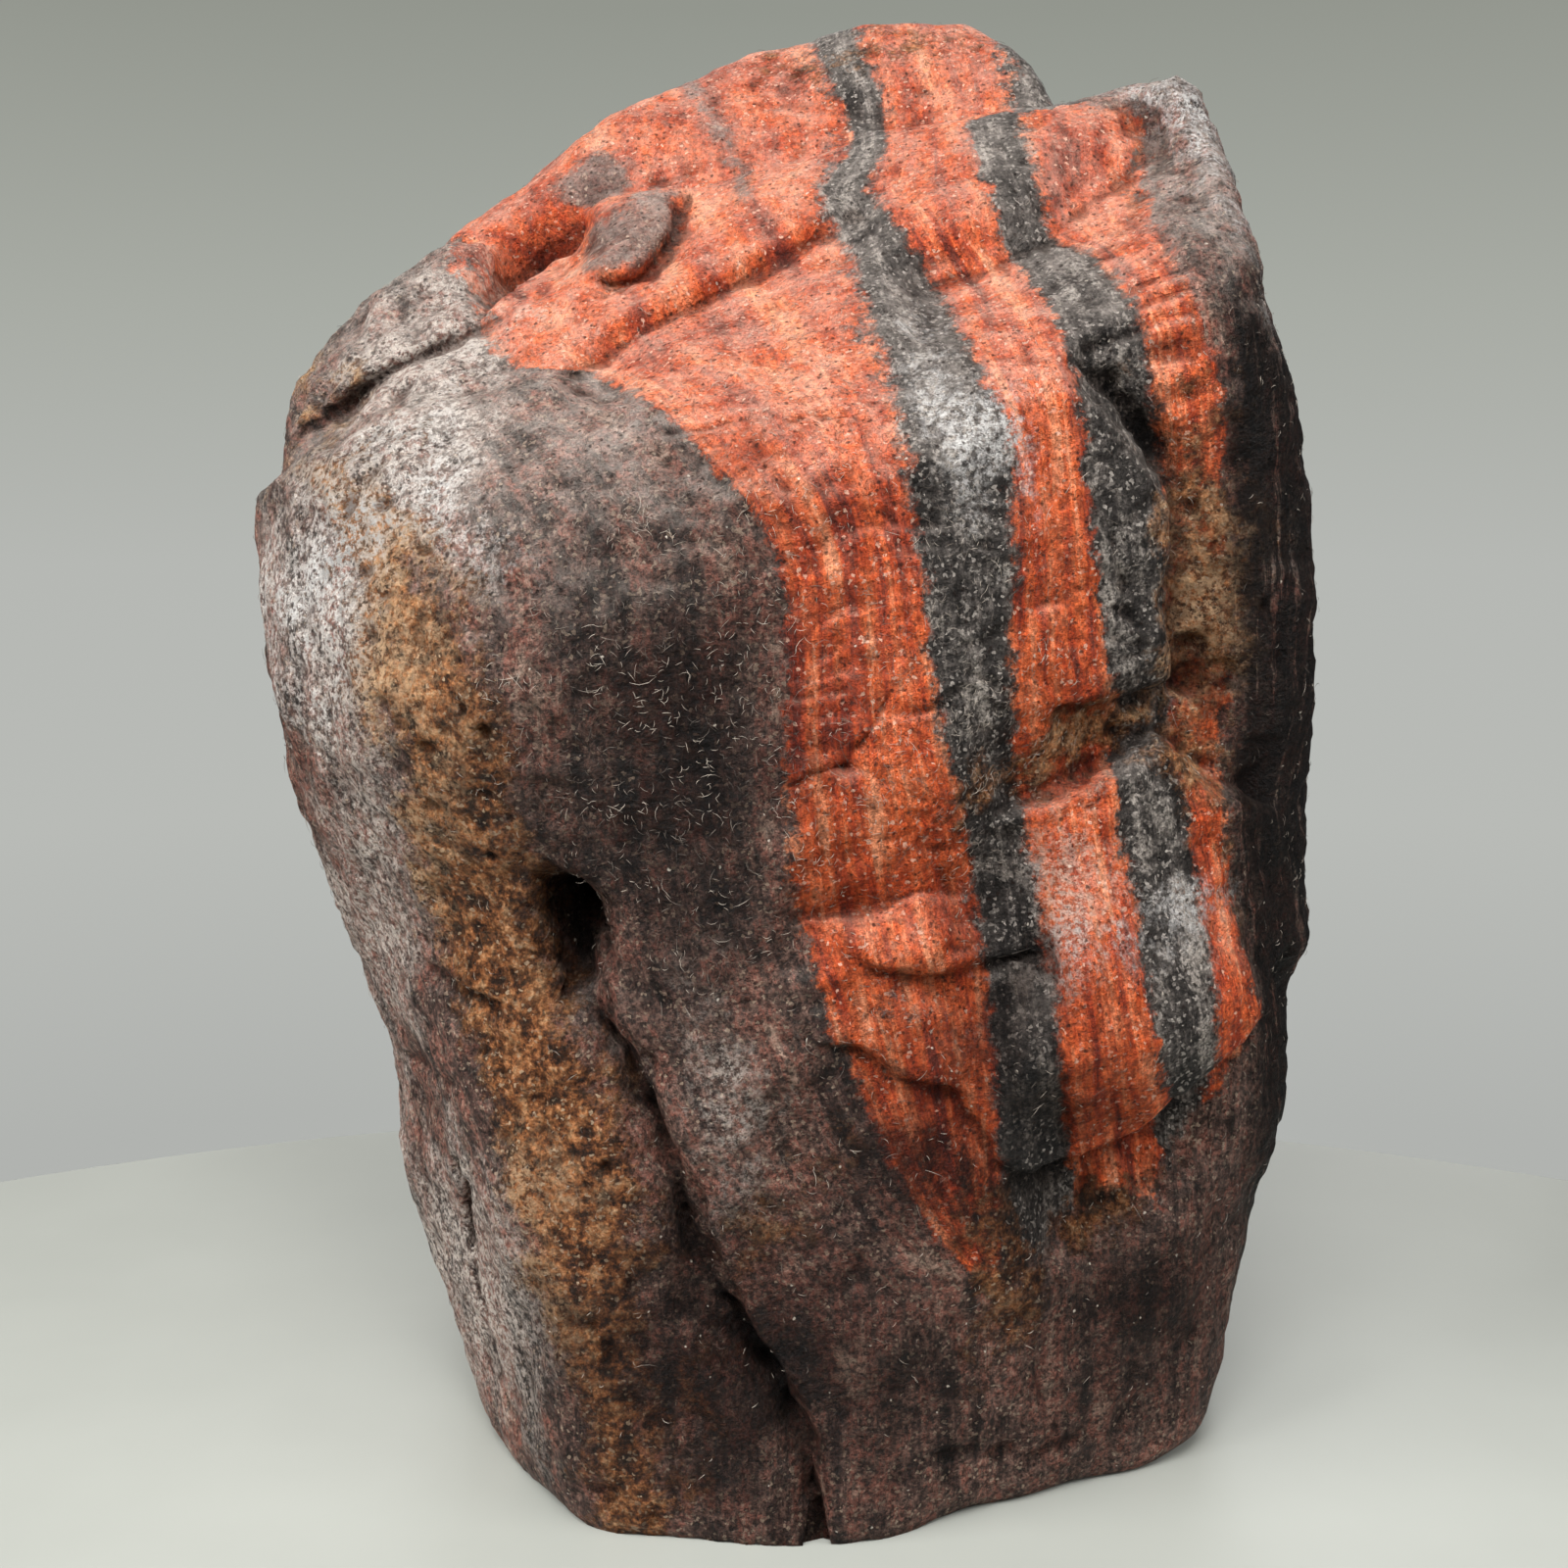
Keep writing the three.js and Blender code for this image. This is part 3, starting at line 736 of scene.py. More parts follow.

# %% [markdown]
# Weather has left a grey bloom on the broken places at the top. White painted glints lie where
# the first dark band rolls over, on the left shoulder, at the top right corner and on the block's
# crystals. Painted light brightens the block, the left flank, the shoulder, the slab, the recess and
# the groove's right bank, and painted shade darkens the front under the bulge and towards the foot.
# The outermost layer on the right is a dark rim, which ends softly at its top and back.

# %% Grey bloom, painted glints, painted light, painted shade and the dark rim
GREY_SPOTS = [
    (-9.2, 83.8, 2.2, 3.0, -10),  # knob
    (-11.6, 82.6, 1.8, 2.4, -20),
    (-13.6, 88, 2.8, 1.9, 25),  # above the knob
    (27, 82, 3.6, 9, 6),  # broken face of the top right corner
    (24, 93.6, 4.5, 2.2, 0),
]
GREY_VEINS = [([(-8.4, 97.6), (-5.6, 93.6), (-3.2, 89), (-2.6, 86)], 0.55)]  # line and half width
GREY_BACK_Y = 10.0  # the knob's far side is at y 5
# painted glints: white spots where the light catches the stone
GLINT_SPOTS = [
    (10.6, 69.6, 3.6, 1.8, 105),  # first dark band, where the slope rolls over
    (-27.5, 62, 7.5, 3.0, 62),  # left shoulder of the bulge
    (-22.5, 66.5, 4.0, 1.6, -20),
    (25, 93.4, 2.2, 0.9, -50),  # top right corner
    (27.2, 90, 3.5, 0.7, 105),
    # a painted glint on the block's crystals
    (24.4, 40.4, 2.2, 0.4, 15),  # crystals on the block
]
# painted shade: the front is darker under the bulge and towards the foot
SHADE_SPOTS = [
    (-7, 49, 15, 9, 85),  # under the bulge, on its right
    (-1, 12, 13, 11, 0),  # low on the front
    (24, 12, 9, 8, 0),
    (14, 29, 5.5, 10, 5),  # lower part of the first dark band
    (9, 26, 9, 7, -50),
]
# painted light: brighter patches on the block, left flank, shoulder, slab, recess and groove bank
LIGHT_SPOTS = [
    (17.8, 42.5, 6, 3.6, 80),  # upper face of the block
    (-27, 40, 5, 24, -12),  # left flank
    (-21, 13, 7, 14, -12),
    (-27, 59, 9, 8, 60),  # left shoulder of the bulge
    (-25, 74, 9, 6, 35),  # rough slab
    (-25, 65, 10, 7.5, 60),
    (26.4, 60, 4, 8, 3),  # recess beside the dark slab
    (-3.5, 30, 6, 3, 105),  # right bank of the groove
]
RIM_STARTS = 28.0  # in mm of bedding
RIM_TOP, RIM_TOP_FADE = 80.0, 3.0
RIM_BACK_Y, RIM_BACK_FADE = 6.0, 6.0


def grey_at(points):
    x, _, z = points.T
    veins = [half_width - line_place(x, z, line)[0] for line, half_width in GREY_VEINS]
    return np.maximum.reduce([deepest_spot(points, GREY_SPOTS, GREY_BACK_Y), *veins])


def rim_at(points):
    below_top = (RIM_TOP - points[:, 2]) / RIM_TOP_FADE
    before_back = (RIM_BACK_Y - points[:, 1]) / RIM_BACK_FADE
    return np.minimum.reduce([bedding_at(points) - RIM_STARTS, below_top, before_back])


grey = grey_at(skin)
painted_glint, painted_shade, painted_light = (deepest_spot(skin, spots) for spots in (GLINT_SPOTS, SHADE_SPOTS, LIGHT_SPOTS))
rim = rim_at(skin)
print("share of the skin in stain and in the rim:", (painted_shade > 0).mean().round(2), (rim > 0).mean().round(2))

# %% [markdown]
# ## Fine relief
# Jasper weathers into fine upright ribs along its layers and wrinkles across them, the rust is
# pitted, the slab is rough, and the dark rim splits into coarse ribs. The grain of the rest is
# coarser than on the jasper. These are small heights along the surface's own direction, added
# after the rule has been followed. They are in the mesh, and not only in the material, because
# light then catches each crest and leaves each hollow dark.

# %% Heights of the fine relief
GRAIN = [(4.6, 0.16), (2.3, 0.11), (1.2, 0.10), (0.75, 0.09)]  # size and height
GRAIN_OFF_BANDS = 1.5  # times as high as on the red bands
RIBBED = (-0.5, 24.5)  # in mm of bedding
RIBS_END_IN_PATINA = 0.5
RIB_WIDTH = 0.8
RIB_LENGTH = 14.0
RIB_HEIGHT = 0.12
WRINKLE = np.array([3.0, 3.0, 1.1])
WRINKLE_HEIGHT = 0.14
WRINKLE_BEND, WRINKLE_BEND_SIZE = 1.6, 3.2
WRINKLE_HEIGHTS = (58.0, 8.0)  # middle and half width of the zone that is wrinkled most, in z
WRINKLED_ELSEWHERE = 0.3
PIT_SIZE = 1.3
PIT_DEPTH = 0.45
PIT_STARTS, PIT_SLOPE = 0.3, 0.5  # the swell that a pit starts at, and the rise to its full depth
SLAB_OVAL = (-25, 77, 12, 6, 35)
SLAB_ROUGH = 0.4
RIM_RIBS_START, RIM_RIBS_WHOLE = 27.0, 29.0  # in mm of bedding
RIM_RIB_SIZE = np.array([1.6, 6.0, 9.0])  # across the layers, along Y and along Z
RIM_RIB_HEIGHT = 0.4


def fine_relief(points):
    red = ramp(bedding - RIBBED[0]) * ramp(RIBBED[1] - bedding) * ramp(RIBS_END_IN_PATINA - patina)
    grain = sum(height * swell(points + size * 7, size) for size, height in GRAIN)
    along_layers = np.stack([bedding, points[:, 1], points[:, 2]], axis=1)
    ribs = RIB_HEIGHT * swell(along_layers / (RIB_WIDTH, RIB_LENGTH, RIB_LENGTH) + 3, 1.0) * red
    middle, half = WRINKLE_HEIGHTS
    zone = ramp(2 - np.abs(points[:, 2] - middle) / half)
    bent = points + WRINKLE_BEND * swell(points + 60, WRINKLE_BEND_SIZE)[:, None]
    crease = 1 - 2 * np.abs(swell(bent / WRINKLE + 5, 1.0))
    wrinkles = WRINKLE_HEIGHT * crease * red * (WRINKLED_ELSEWHERE + zone)
    in_pit = ramp((swell(points + 11, PIT_SIZE) - PIT_STARTS) / PIT_SLOPE)
    pits = -PIT_DEPTH * in_pit * ramp(ochre / 2 + 0.5)
    slab = SLAB_ROUGH * (swell(points + 5, 3.0) + 0.6 * swell(points + 9, 1.4))
    slab *= inside_oval(points, SLAB_OVAL)
    on_rim = ramp((bedding - RIM_RIBS_START) / (RIM_RIBS_WHOLE - RIM_RIBS_START))
    rim_ribs = RIM_RIB_HEIGHT * swell(along_layers / RIM_RIB_SIZE + 13, 1.0) * on_rim
    grain *= GRAIN_OFF_BANDS + (1 - GRAIN_OFF_BANDS) * red
    return grain + ribs + wrinkles + pits + slab + rim_ribs


def hollowness(points, rounds):
    """How far a point lies below the smoothed surface round it, in mm."""
    return ((smoothed(points, rounds) - points) * vertex_normals(points)).sum(1)


WIDE_ROUNDS = 30  # many rounds of smoothing show hollows, and a few show pores
NARROW_ROUNDS = 4
relief = fine_relief(skin) * ramp(skin[:, 2] / FOOT_CLEAR)
skin = skin + vertex_normals(skin) * relief[:, None]
skin[:, 2] = np.maximum(skin[:, 2], 0)
# the material paints shade from these two numbers: in hollows, with their dirt, and in fine pores
hollow_shade_and_dirt = hollowness(skin, WIDE_ROUNDS)
pore_shade = hollowness(skin, NARROW_ROUNDS)
print("relief, mm:", relief.min().round(2), relief.max().round(2))
print("hollow, mm:", np.percentile(hollow_shade_and_dirt, [1, 50, 99]).round(2))
print("pore, mm:", np.percentile(pore_shade, [1, 99]).round(2))

# %% [markdown]
# The finished points become one closed mesh. The numbers worked out above ride along as named
# attributes, one value for each vertex, so that the material can read them.

# %% The stone's mesh
NUMBERS = {
    "bedding": bedding, "ochre": ochre, "patina": patina, "grey": grey, "painted_glint": painted_glint,
    "painted_shade": painted_shade, "painted_light": painted_light, "rim": rim, "hollow_shade_and_dirt": hollow_shade_and_dirt, "pore_shade": pore_shade,
}


def add_piece(name, points, faces):
    mesh = bpy.data.meshes.new(name)
    mesh.from_pydata((points * MM).tolist(), [], faces.tolist())
    mesh.shade_smooth()
    piece = bpy.data.objects.new(name, mesh)
    bpy.context.scene.collection.objects.link(piece)
    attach(piece, "root")
    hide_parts("ironstone")
    print(name, "triangles:", len(faces))
    return piece


stone = add_piece("banded_ironstone", skin + STONE_MOVE, triangles)
for name, values in NUMBERS.items():
    stone.data.attributes.new(name, "FLOAT", "POINT").data.foreach_set("value", values.astype(np.float32))

# %% [markdown]
# ## Lint
# A stone that has stood in a room for years carries thousands of short pale fibres of dust, which
# give it a faint nap. Each is a bent thread of three sides that lies on the surface, most are
# shorter than a millimetre, and all of them are one mesh. They could be grown as hair, but a mesh
# of threads is the same in every program that the stone is taken to.

# %% Fibres of dust
FIBRES = 7500
SHORTEST_FIBRE, LONGEST_FIBRE = 0.3, 2.4
FIBRE_LENGTH_SPREAD = 0.25
FIBRE_THICK = 0.030  # twice that of a real one, which would be too fine to show
FIBRE_TIP = 0.12  # the taper is half a wave, cut this far from both ends, so no end is a point
FIBRE_SIDES = 3
FIBRE_PIECES = 3
FIBRE_BEND = 1.6  # radians, at most, from end to end
FIBRE_LIFT, FIBRE_RISE = 0.03, 0.07  # of the ends above the skin, and of the middle above the ends
FIBRE_LOWEST_ROOT = 3  # no fibre starts lower
FIBRE_LOWEST_POINT = 0.1  # and none reaches lower than this
NAP_MIDDLE = (0, 55, 14, 13, 0)  # the roughest part of the front, which holds three times as many
NAP_EXTRA = 2


def lint():
    random = np.random.default_rng(7)
    normals = vertex_normals(skin)
    rough = inside_oval(skin, NAP_MIDDLE) * (skin[:, 1] < 0)
    chance = (1 + NAP_EXTRA * rough) * (skin[:, 2] > FIBRE_LOWEST_ROOT)
    places = random.choice(len(skin), FIBRES, replace=False, p=chance / chance.sum())
    points, faces = [], []
    for place in places:
        up = normals[place]
        ahead = np.cross(up, random.normal(size=3))
        ahead /= np.linalg.norm(ahead)
        across = np.cross(up, ahead)
        length = min(SHORTEST_FIBRE + random.exponential(FIBRE_LENGTH_SPREAD), LONGEST_FIBRE)
        bend = random.uniform(-FIBRE_BEND, FIBRE_BEND)
        t = np.linspace(0, 1, FIBRE_PIECES + 1)
        turn = bend * (t - 0.5)
        step = length / FIBRE_PIECES
        along = np.cumsum(np.cos(turn)) * step
        sideways = np.cumsum(np.sin(turn)) * step
        rise = FIBRE_LIFT + FIBRE_RISE * np.sin(math.pi * t)
        spine = skin[place] + np.outer(along, ahead) + np.outer(sideways, across) + np.outer(rise, up)
        radii = FIBRE_THICK / 2 * np.sin(math.pi * (FIBRE_TIP + (1 - 2 * FIBRE_TIP) * t))
        start = len(points)
        for middle, radius in zip(spine, radii):
            for corner in range(FIBRE_SIDES):
                angle = corner * math.tau / FIBRE_SIDES
                points.append(middle + radius * (math.cos(angle) * across + math.sin(angle) * up))
        for ring in range(start, start + FIBRE_PIECES * FIBRE_SIDES, FIBRE_SIDES):
            for corner in range(FIBRE_SIDES):
                a, b = ring + corner, ring + (corner + 1) % FIBRE_SIDES
                faces += [(a, a + FIBRE_SIDES, b + FIBRE_SIDES), (a, b + FIBRE_SIDES, b)]
        last = start + FIBRE_PIECES * FIBRE_SIDES
        faces += [(start, start + 1, start + 2), (last, last + 2, last + 1)]
    points = np.array(points)
    points[:, 2] = np.maximum(points[:, 2], FIBRE_LOWEST_POINT)
    return points, np.array(faces)


fibre_points, fibre_faces = lint()
fibres = add_piece("dust_fibres", fibre_points + STONE_MOVE, fibre_faces)

# %% [markdown]
# ## The minerals
# Each mineral is its own small recipe, which gives a colour and a relief. All of them read two
# sets of coordinates in millimetres: "space", for grain that has no direction, and "layers",
# which are drawn out along the layering, for streaks that follow it. A picture of a stone could
# be wrapped round the mesh instead, but it would smear where the steps are steep and its seams
# would show. A pattern worked out in space has neither fault.
#
# What makes a broken stone look like stone is its grain. Each spot is a little lighter or darker
# than the next, and here and there a pale fleck shows. The real grains are about a tenth of a
# millimetre wide, too fine to show, so they are drawn a few times as wide, and the flecks twice.

# %% Grain and flecks
GRAIN_SIZE = 0.42
FLECK_SIZE = 0.2
GRAIN_LOW, GRAIN_HIGH = 0.41, 0.59  # most values of a noise lie in between


def grained(tree, at, colour, contrast, fleck, flecks):
    """A colour broken up by grain and by a share of pale flecks, and the grain itself."""
    grain = add_node(tree, "ShaderNodeTexNoise", inputs={
        "Vector": at["space"], "Scale": 1 / GRAIN_SIZE, "Detail": 4, "Roughness": 0.75})
    tone = add_node(tree, "ShaderNodeMapRange", inputs={
        "Value": grain, "From Min": GRAIN_LOW, "From Max": GRAIN_HIGH,
        "To Min": 1 - contrast, "To Max": 1 + contrast})
    toned = add_node(tree, "ShaderNodeHueSaturation", inputs={"Color": colour, "Value": tone})
    cells = add_node(tree, "ShaderNodeTexVoronoi", inputs={"Vector": at["bent"], "Scale": 1 / FLECK_SIZE})
    chance = add_node(tree, "ShaderNodeSeparateColor", inputs={"Color": cells.outputs["Color"]})
    shown = add_node(tree, "ShaderNodeMapRange", inputs={
        "Value": chance, "From Min": 1 - flecks, "From Max": 1.0, "To Max": 0.9})
    flecked = add_node(tree, "ShaderNodeMix", {"data_type": "RGBA"}, {
        "Factor": shown, "A": toned, "B": fleck})
    return flecked, grain


# %% [markdown]
# The layers themselves are made of still thinner ones, the laminae, and are clouded where they
# hold more or less iron. So three of the recipes take their colour from two noises mixed: one
# drawn out along the layers and one in round clouds.


# %% Streaks and clouds
def streaked(tree, at, streaks, clouds, clouds_share, colours):
    """A colour from streaks and clouds. Each of the two has a size in mm and a roughness."""
    noises = [
        add_node(tree, "ShaderNodeTexNoise", inputs={
            "Vector": at[which], "Scale": 1 / size, "Detail": 6, "Roughness": roughness})
        for which, (size, roughness) in (("layers", streaks), ("space", clouds))
    ]
    both = add_node(tree, "ShaderNodeMix", inputs={"Factor": clouds_share, "A": noises[0], "B": noises[1]})
    return add_node(tree, "ShaderNodeValToRGB", inputs={"Fac": both}, ramp=colours)


# %% [markdown]
# Red jasper is quartz coloured by hematite dust. Broken, it is dull with a fine grain, and its
# thin layers show as darker and lighter streaks.


# %% Red jasper, broken
def red_jasper(tree, at):
    colour = streaked(tree, at, (0.8, 0.7), (5, 0.7), 0.25, [
        (0.38, "#6E1E0C"), (0.45, "#AA3C18"), (0.53, "#D05E2E"), (0.61, "#E69066")])
    colour, grain = grained(tree, at, colour, 0.4, "#EBB79E", 0.06)
    return colour, add_node(tree, "ShaderNodeMath", {"operation": "MULTIPLY"}, {0: grain, 1: 0.45})


# %% [markdown]
# Hematite is iron oxide: heavy, steel grey and made of tiny plates that catch the light one by
# one, so a good share of its flecks is pale.


# %% Steel-grey hematite, broken
def grey_hematite(tree, at):
    colour = streaked(tree, at, (1.2, 0.7), (3, 0.75), 0.5, [
        (0.42, "#100D0C"), (0.47, "#2C2826"), (0.52, "#4E4844"), (0.58, "#8A827A")])
    colour, grain = grained(tree, at, colour, 0.8, "#B0A79E", 0.17)
    return colour, add_node(tree, "ShaderNodeMath", {"operation": "MULTIPLY"}, {0: grain, 1: 0.55})


# %% [markdown]
# The patina is a skin of brown and purple iron oxides that weather leaves on both minerals. It
# hides their difference, so only faint streaks show the layers under it.


# %% Brown iron patina, weathered
def brown_patina(tree, at):
    colour = streaked(tree, at, (1.8, 0.75), (4, 0.75), 0.5, [
        (0.41, "#1B0F0B"), (0.46, "#47302A"), (0.50, "#695046"), (0.54, "#78483C"), (0.60, "#927768")])
    colour, grain = grained(tree, at, colour, 0.7, "#A8927E", 0.12)
    return colour, add_node(tree, "ShaderNodeMath", {"operation": "MULTIPLY"}, {0: grain, 1: 0.6})


# %% [markdown]
# Ochre is rust: soft, earthy and pitted, from deep brown in its hollows to tan on its crests. It
# has no layers, so its colour and its relief both follow the same round crumbs.


# %% Rust ochre, earthy
def rust_ochre(tree, at):
    crumbs = add_node(tree, "ShaderNodeTexNoise", inputs={
        "Vector": at["space"], "Scale": 1 / 1.2, "Detail": 7, "Roughness": 0.75})
    colour = add_node(tree, "ShaderNodeValToRGB", inputs={"Fac": crumbs}, ramp=[
        (0.40, "#24140B"), (0.46, "#663B20"), (0.51, "#975D34"), (0.56, "#B87C4E"), (0.64, "#CFA378")])
    colour, _ = grained(tree, at, colour, 0.55, "#D9BD9C", 0.08)
    return colour, add_node(tree, "ShaderNodeMath", {"operation": "MULTIPLY"}, {0: crumbs, 1: 1.6})


# %% [markdown]
# ## One material for the whole stone
# The four recipes meet in one material, because the stone is one piece. It starts with the
# coordinates. The plain ones are in millimetres. The ones along the layers put the bedding number
# in place of X, and are drawn out lengthwise. The bent ones keep small dots from being round.

# %% Coordinates in space and along the layers
DRAWN_OUT = 14  # times as long along the layers as across them
BENT_SIZE, BENT_REACH = 0.4, 0.35


def coordinates(tree, along_bedding):
    place = add_node(tree, "ShaderNodeTexCoord")
    space = add_node(tree, "ShaderNodeVectorMath", {"operation": "SCALE"}, {
        "Vector": place.outputs["Object"], "Scale": 1 / MM})
    drawn = add_node(tree, "ShaderNodeVectorMath", {"operation": "SCALE"}, {
        "Vector": space, "Scale": 1 / DRAWN_OUT})
    axes = add_node(tree, "ShaderNodeSeparateXYZ", inputs={"Vector": drawn})
    layers = add_node(tree, "ShaderNodeCombineXYZ", inputs={
        "X": along_bedding, "Y": axes.outputs["Y"], "Z": axes.outputs["Z"]})
    crooked = add_node(tree, "ShaderNodeTexNoise", inputs={
        "Vector": space, "Scale": 1 / BENT_SIZE, "Detail": 3})
    bent = add_node(tree, "ShaderNodeVectorMath", {"operation": "MULTIPLY_ADD"}, {
        0: crooked.outputs["Color"], 1: [BENT_REACH] * 3, 2: space})
    return {"space": space, "layers": layers, "bent": bent}


# %% [markdown]
# How much of each mineral and each cover shows is a share from 0 to 1, worked out from the mesh's
# numbers. Before that a fine noise pushes each number to and fro, in millimetres, which makes
# every outline ragged, as in the real layers. The bedding number then picks jasper or hematite
# through a ramp with a stop on each side of every band edge.

# %% Where each mineral and each cover shows
RED_BANDS = [(0, 8), (13.5, 18.8), (24, 28)]  # start and end, in mm of bedding
BEDDING_RANGE = (-45.0, 45.0)
EDGE_SOFT = 0.2

# size of the noise: how far it pushes each number
PUSHES = {
    1.6: {"bedding": 5, "grey": 5, "rim": 5},
    6.0: {"ochre": 20, "patina": 22, "painted_glint": 22, "painted_shade": 26, "painted_light": 30},
}

# share: number, where the share starts and is whole, and how much the whole share is
SHARES = {
    "before the bands": ("bedding", EDGE_SOFT, -EDGE_SOFT, 1),
    "beyond the bands": ("bedding", RIM_STARTS - EDGE_SOFT, RIM_STARTS + EDGE_SOFT, 1),
    "patina": ("patina", -0.8, 1.2, 1),
    "grey": ("grey", -0.3, 0.4, 0.85),
    "ochre": ("ochre", -0.8, 1.4, 0.95),
    # painted light
    "painted_light": ("painted_light", -1.0, 6.0, 0.9),
    # painted glints
    "painted_glint": ("painted_glint", -1.6, 3.0, 0.85),
    "rim": ("rim", -1.0, 1.5, 0.95),
    "painted_shade": ("painted_shade", -5.0, 7.0, 0.95),
    # painted shade, with dirt, in hollows
    "hollow_shade_and_dirt": ("hollow_shade_and_dirt", 0.5, 1.6, 0.5),
    # painted shadow, near black, in the deepest hollows such as the hole
    "deep_shadow": ("hollow_shade_and_dirt", 1.2, 2.2, 1),
    # painted shade in the fine pores
    "pore_shade": ("pore_shade", 0.03, 0.14, 0.6),
}


def band_stops():
    low, high = BEDDING_RANGE
    stops = []
    for start, end in RED_BANDS:
        for place, value in ((start - EDGE_SOFT, 0.0), (start + EDGE_SOFT, 1.0),
                             (end - EDGE_SOFT, 1.0), (end + EDGE_SOFT, 0.0)):
            stops.append(((place - low) / (high - low), value))
    return stops


def ragged_shares(tree, space, number):
    for size, reaches in PUSHES.items():
        push = add_node(tree, "ShaderNodeTexNoise", inputs={
            "Vector": space, "Scale": 1 / size, "Detail": 8, "Roughness": 0.78})
        either_way = add_node(tree, "ShaderNodeMath", {"operation": "SUBTRACT"}, {0: push, 1: 0.5})
        for name, reach in reaches.items():
            number[name] = add_node(tree, "ShaderNodeMath", {"operation": "MULTIPLY_ADD"}, {
                0: either_way, 1: reach, 2: number[name]})
    share = {name: add_node(tree, "ShaderNodeMapRange", inputs={
        "Value": number[which], "From Min": start, "From Max": whole, "To Max": most})
        for name, (which, start, whole, most) in SHARES.items()}

    low, high = BEDDING_RANGE
    along = add_node(tree, "ShaderNodeMapRange", inputs={
        "Value": number["bedding"], "From Min": low, "From Max": high})
    share["red"] = add_node(tree, "ShaderNodeValToRGB", inputs={"Fac": along}, ramp=band_stops())
    share["brown"] = share["before the bands"]
    for name in ("beyond the bands", "patina"):
        share["brown"] = add_node(tree, "ShaderNodeMath", {"operation": "MAXIMUM"}, {
            0: share["brown"], 1: share[name]})
    share["covered"] = add_node(tree, "ShaderNodeMath", {"operation": "MAXIMUM"}, {
        0: share["brown"], 1: share["grey"]})
    return share


# %% [markdown]
# Hematite is the ground that the others lie on: jasper where the bands are red, patina where it
# has spread, and ochre on top where the stone has rusted. Their reliefs are mixed the same way.


# %% The minerals in their places
def minerals(tree, at, share):
    colour, relief = grey_hematite(tree, at)
    for recipe, which in ((red_jasper, "red"), (brown_patina, "covered"), (rust_ochre, "ochre")):
        next_colour, next_relief = recipe(tree, at)
        colour = add_node(tree, "ShaderNodeMix", {"data_type": "RGBA"}, {
            "Factor": share[which], "A": colour, "B": next_colour})
        relief = add_node(tree, "ShaderNodeMix", inputs={
            "Factor": share[which], "A": relief, "B": next_relief})
    return colour, relief


# %% [markdown]
# Dust settles mostly on what faces up and high up, and the same veil is a painted sheen, which
# lightens the tops and the upper stone as light from above does. It clings to the rough patina
# more than to the bands, and least to smooth hematite. It is thin, so it only veils the colours.

# %% Dust and painted sheen
DUST_AND_SHEEN_ON_SIDES = 0.04
DUST_AND_SHEEN_ON_TOPS = 0.31
DUST_AND_SHEEN_ON_PATINA = 1.6  # times as much as elsewhere
DUST_AND_SHEEN_ON_OCHRE = 0.8
DUST_AND_SHEEN_ON_HEMATITE = 0.6
# dust and painted sheen thin out lower down, so the stone is painted darker towards the foot
DUST_AND_SHEEN_THIN_Z, DUST_AND_SHEEN_WHOLE_Z = 30, 62  # less dust lies low on the stone


def dust_and_sheen_share(tree, space, share):
    shape = add_node(tree, "ShaderNodeNewGeometry")
    facing_up = add_node(tree, "ShaderNodeSeparateXYZ", inputs={"Vector": shape.outputs["Normal"]})
    axes = add_node(tree, "ShaderNodeSeparateXYZ", inputs={"Vector": space})
    drifts = add_node(tree, "ShaderNodeTexNoise", inputs={
        "Vector": space, "Scale": 1 / 2.5, "Detail": 8, "Roughness": 0.8})
    # the veil is dust and painted sheen: lighter on what faces up, as under light from above
    dust = add_node(tree, "ShaderNodeMapRange", inputs={
        "Value": facing_up.outputs["Z"], "From Min": 0.05, "From Max": 0.85,
        "To Min": DUST_AND_SHEEN_ON_SIDES, "To Max": DUST_AND_SHEEN_ON_TOPS})
    for value, low, high, least, most in (
            (axes.outputs["Z"], DUST_AND_SHEEN_THIN_Z, DUST_AND_SHEEN_WHOLE_Z, 0.4, 1),
            (share["brown"], 0, 1, 1, DUST_AND_SHEEN_ON_PATINA), (share["ochre"], 0, 1, 1, DUST_AND_SHEEN_ON_OCHRE),
            (share["red"], 0, 1, DUST_AND_SHEEN_ON_HEMATITE, 1), (drifts, 0.42, 0.58, 0.4, 1.6)):
        factor = add_node(tree, "ShaderNodeMapRange", inputs={
            "Value": value, "From Min": low, "From Max": high, "To Min": least, "To Max": most})
        dust = add_node(tree, "ShaderNodeMath", {"operation": "MULTIPLY"}, {0: dust, 1: factor})
    return dust


# %% [markdown]
# Painted light on the lit patches and painted glints are both broken up by the same fine noise,
# so they sparkle. The dust with its painted sheen takes a little of the colour of what it lies on:
# pink on bare jasper, tan on ochre.

# %% Veils of dust and painted sheen, painted light and painted glints
SPARKLE_SIZE = 0.5
DUST_AND_SHEEN_TINT, DUST_AND_SHEEN_ON_RED_TINT, DUST_AND_SHEEN_ON_OCHRE_TINT = "#D6C9BE", "#E9BBA6", "#DDB48A"
# the white of the painted glints
GLINT_TINT = "#D9D5D1"


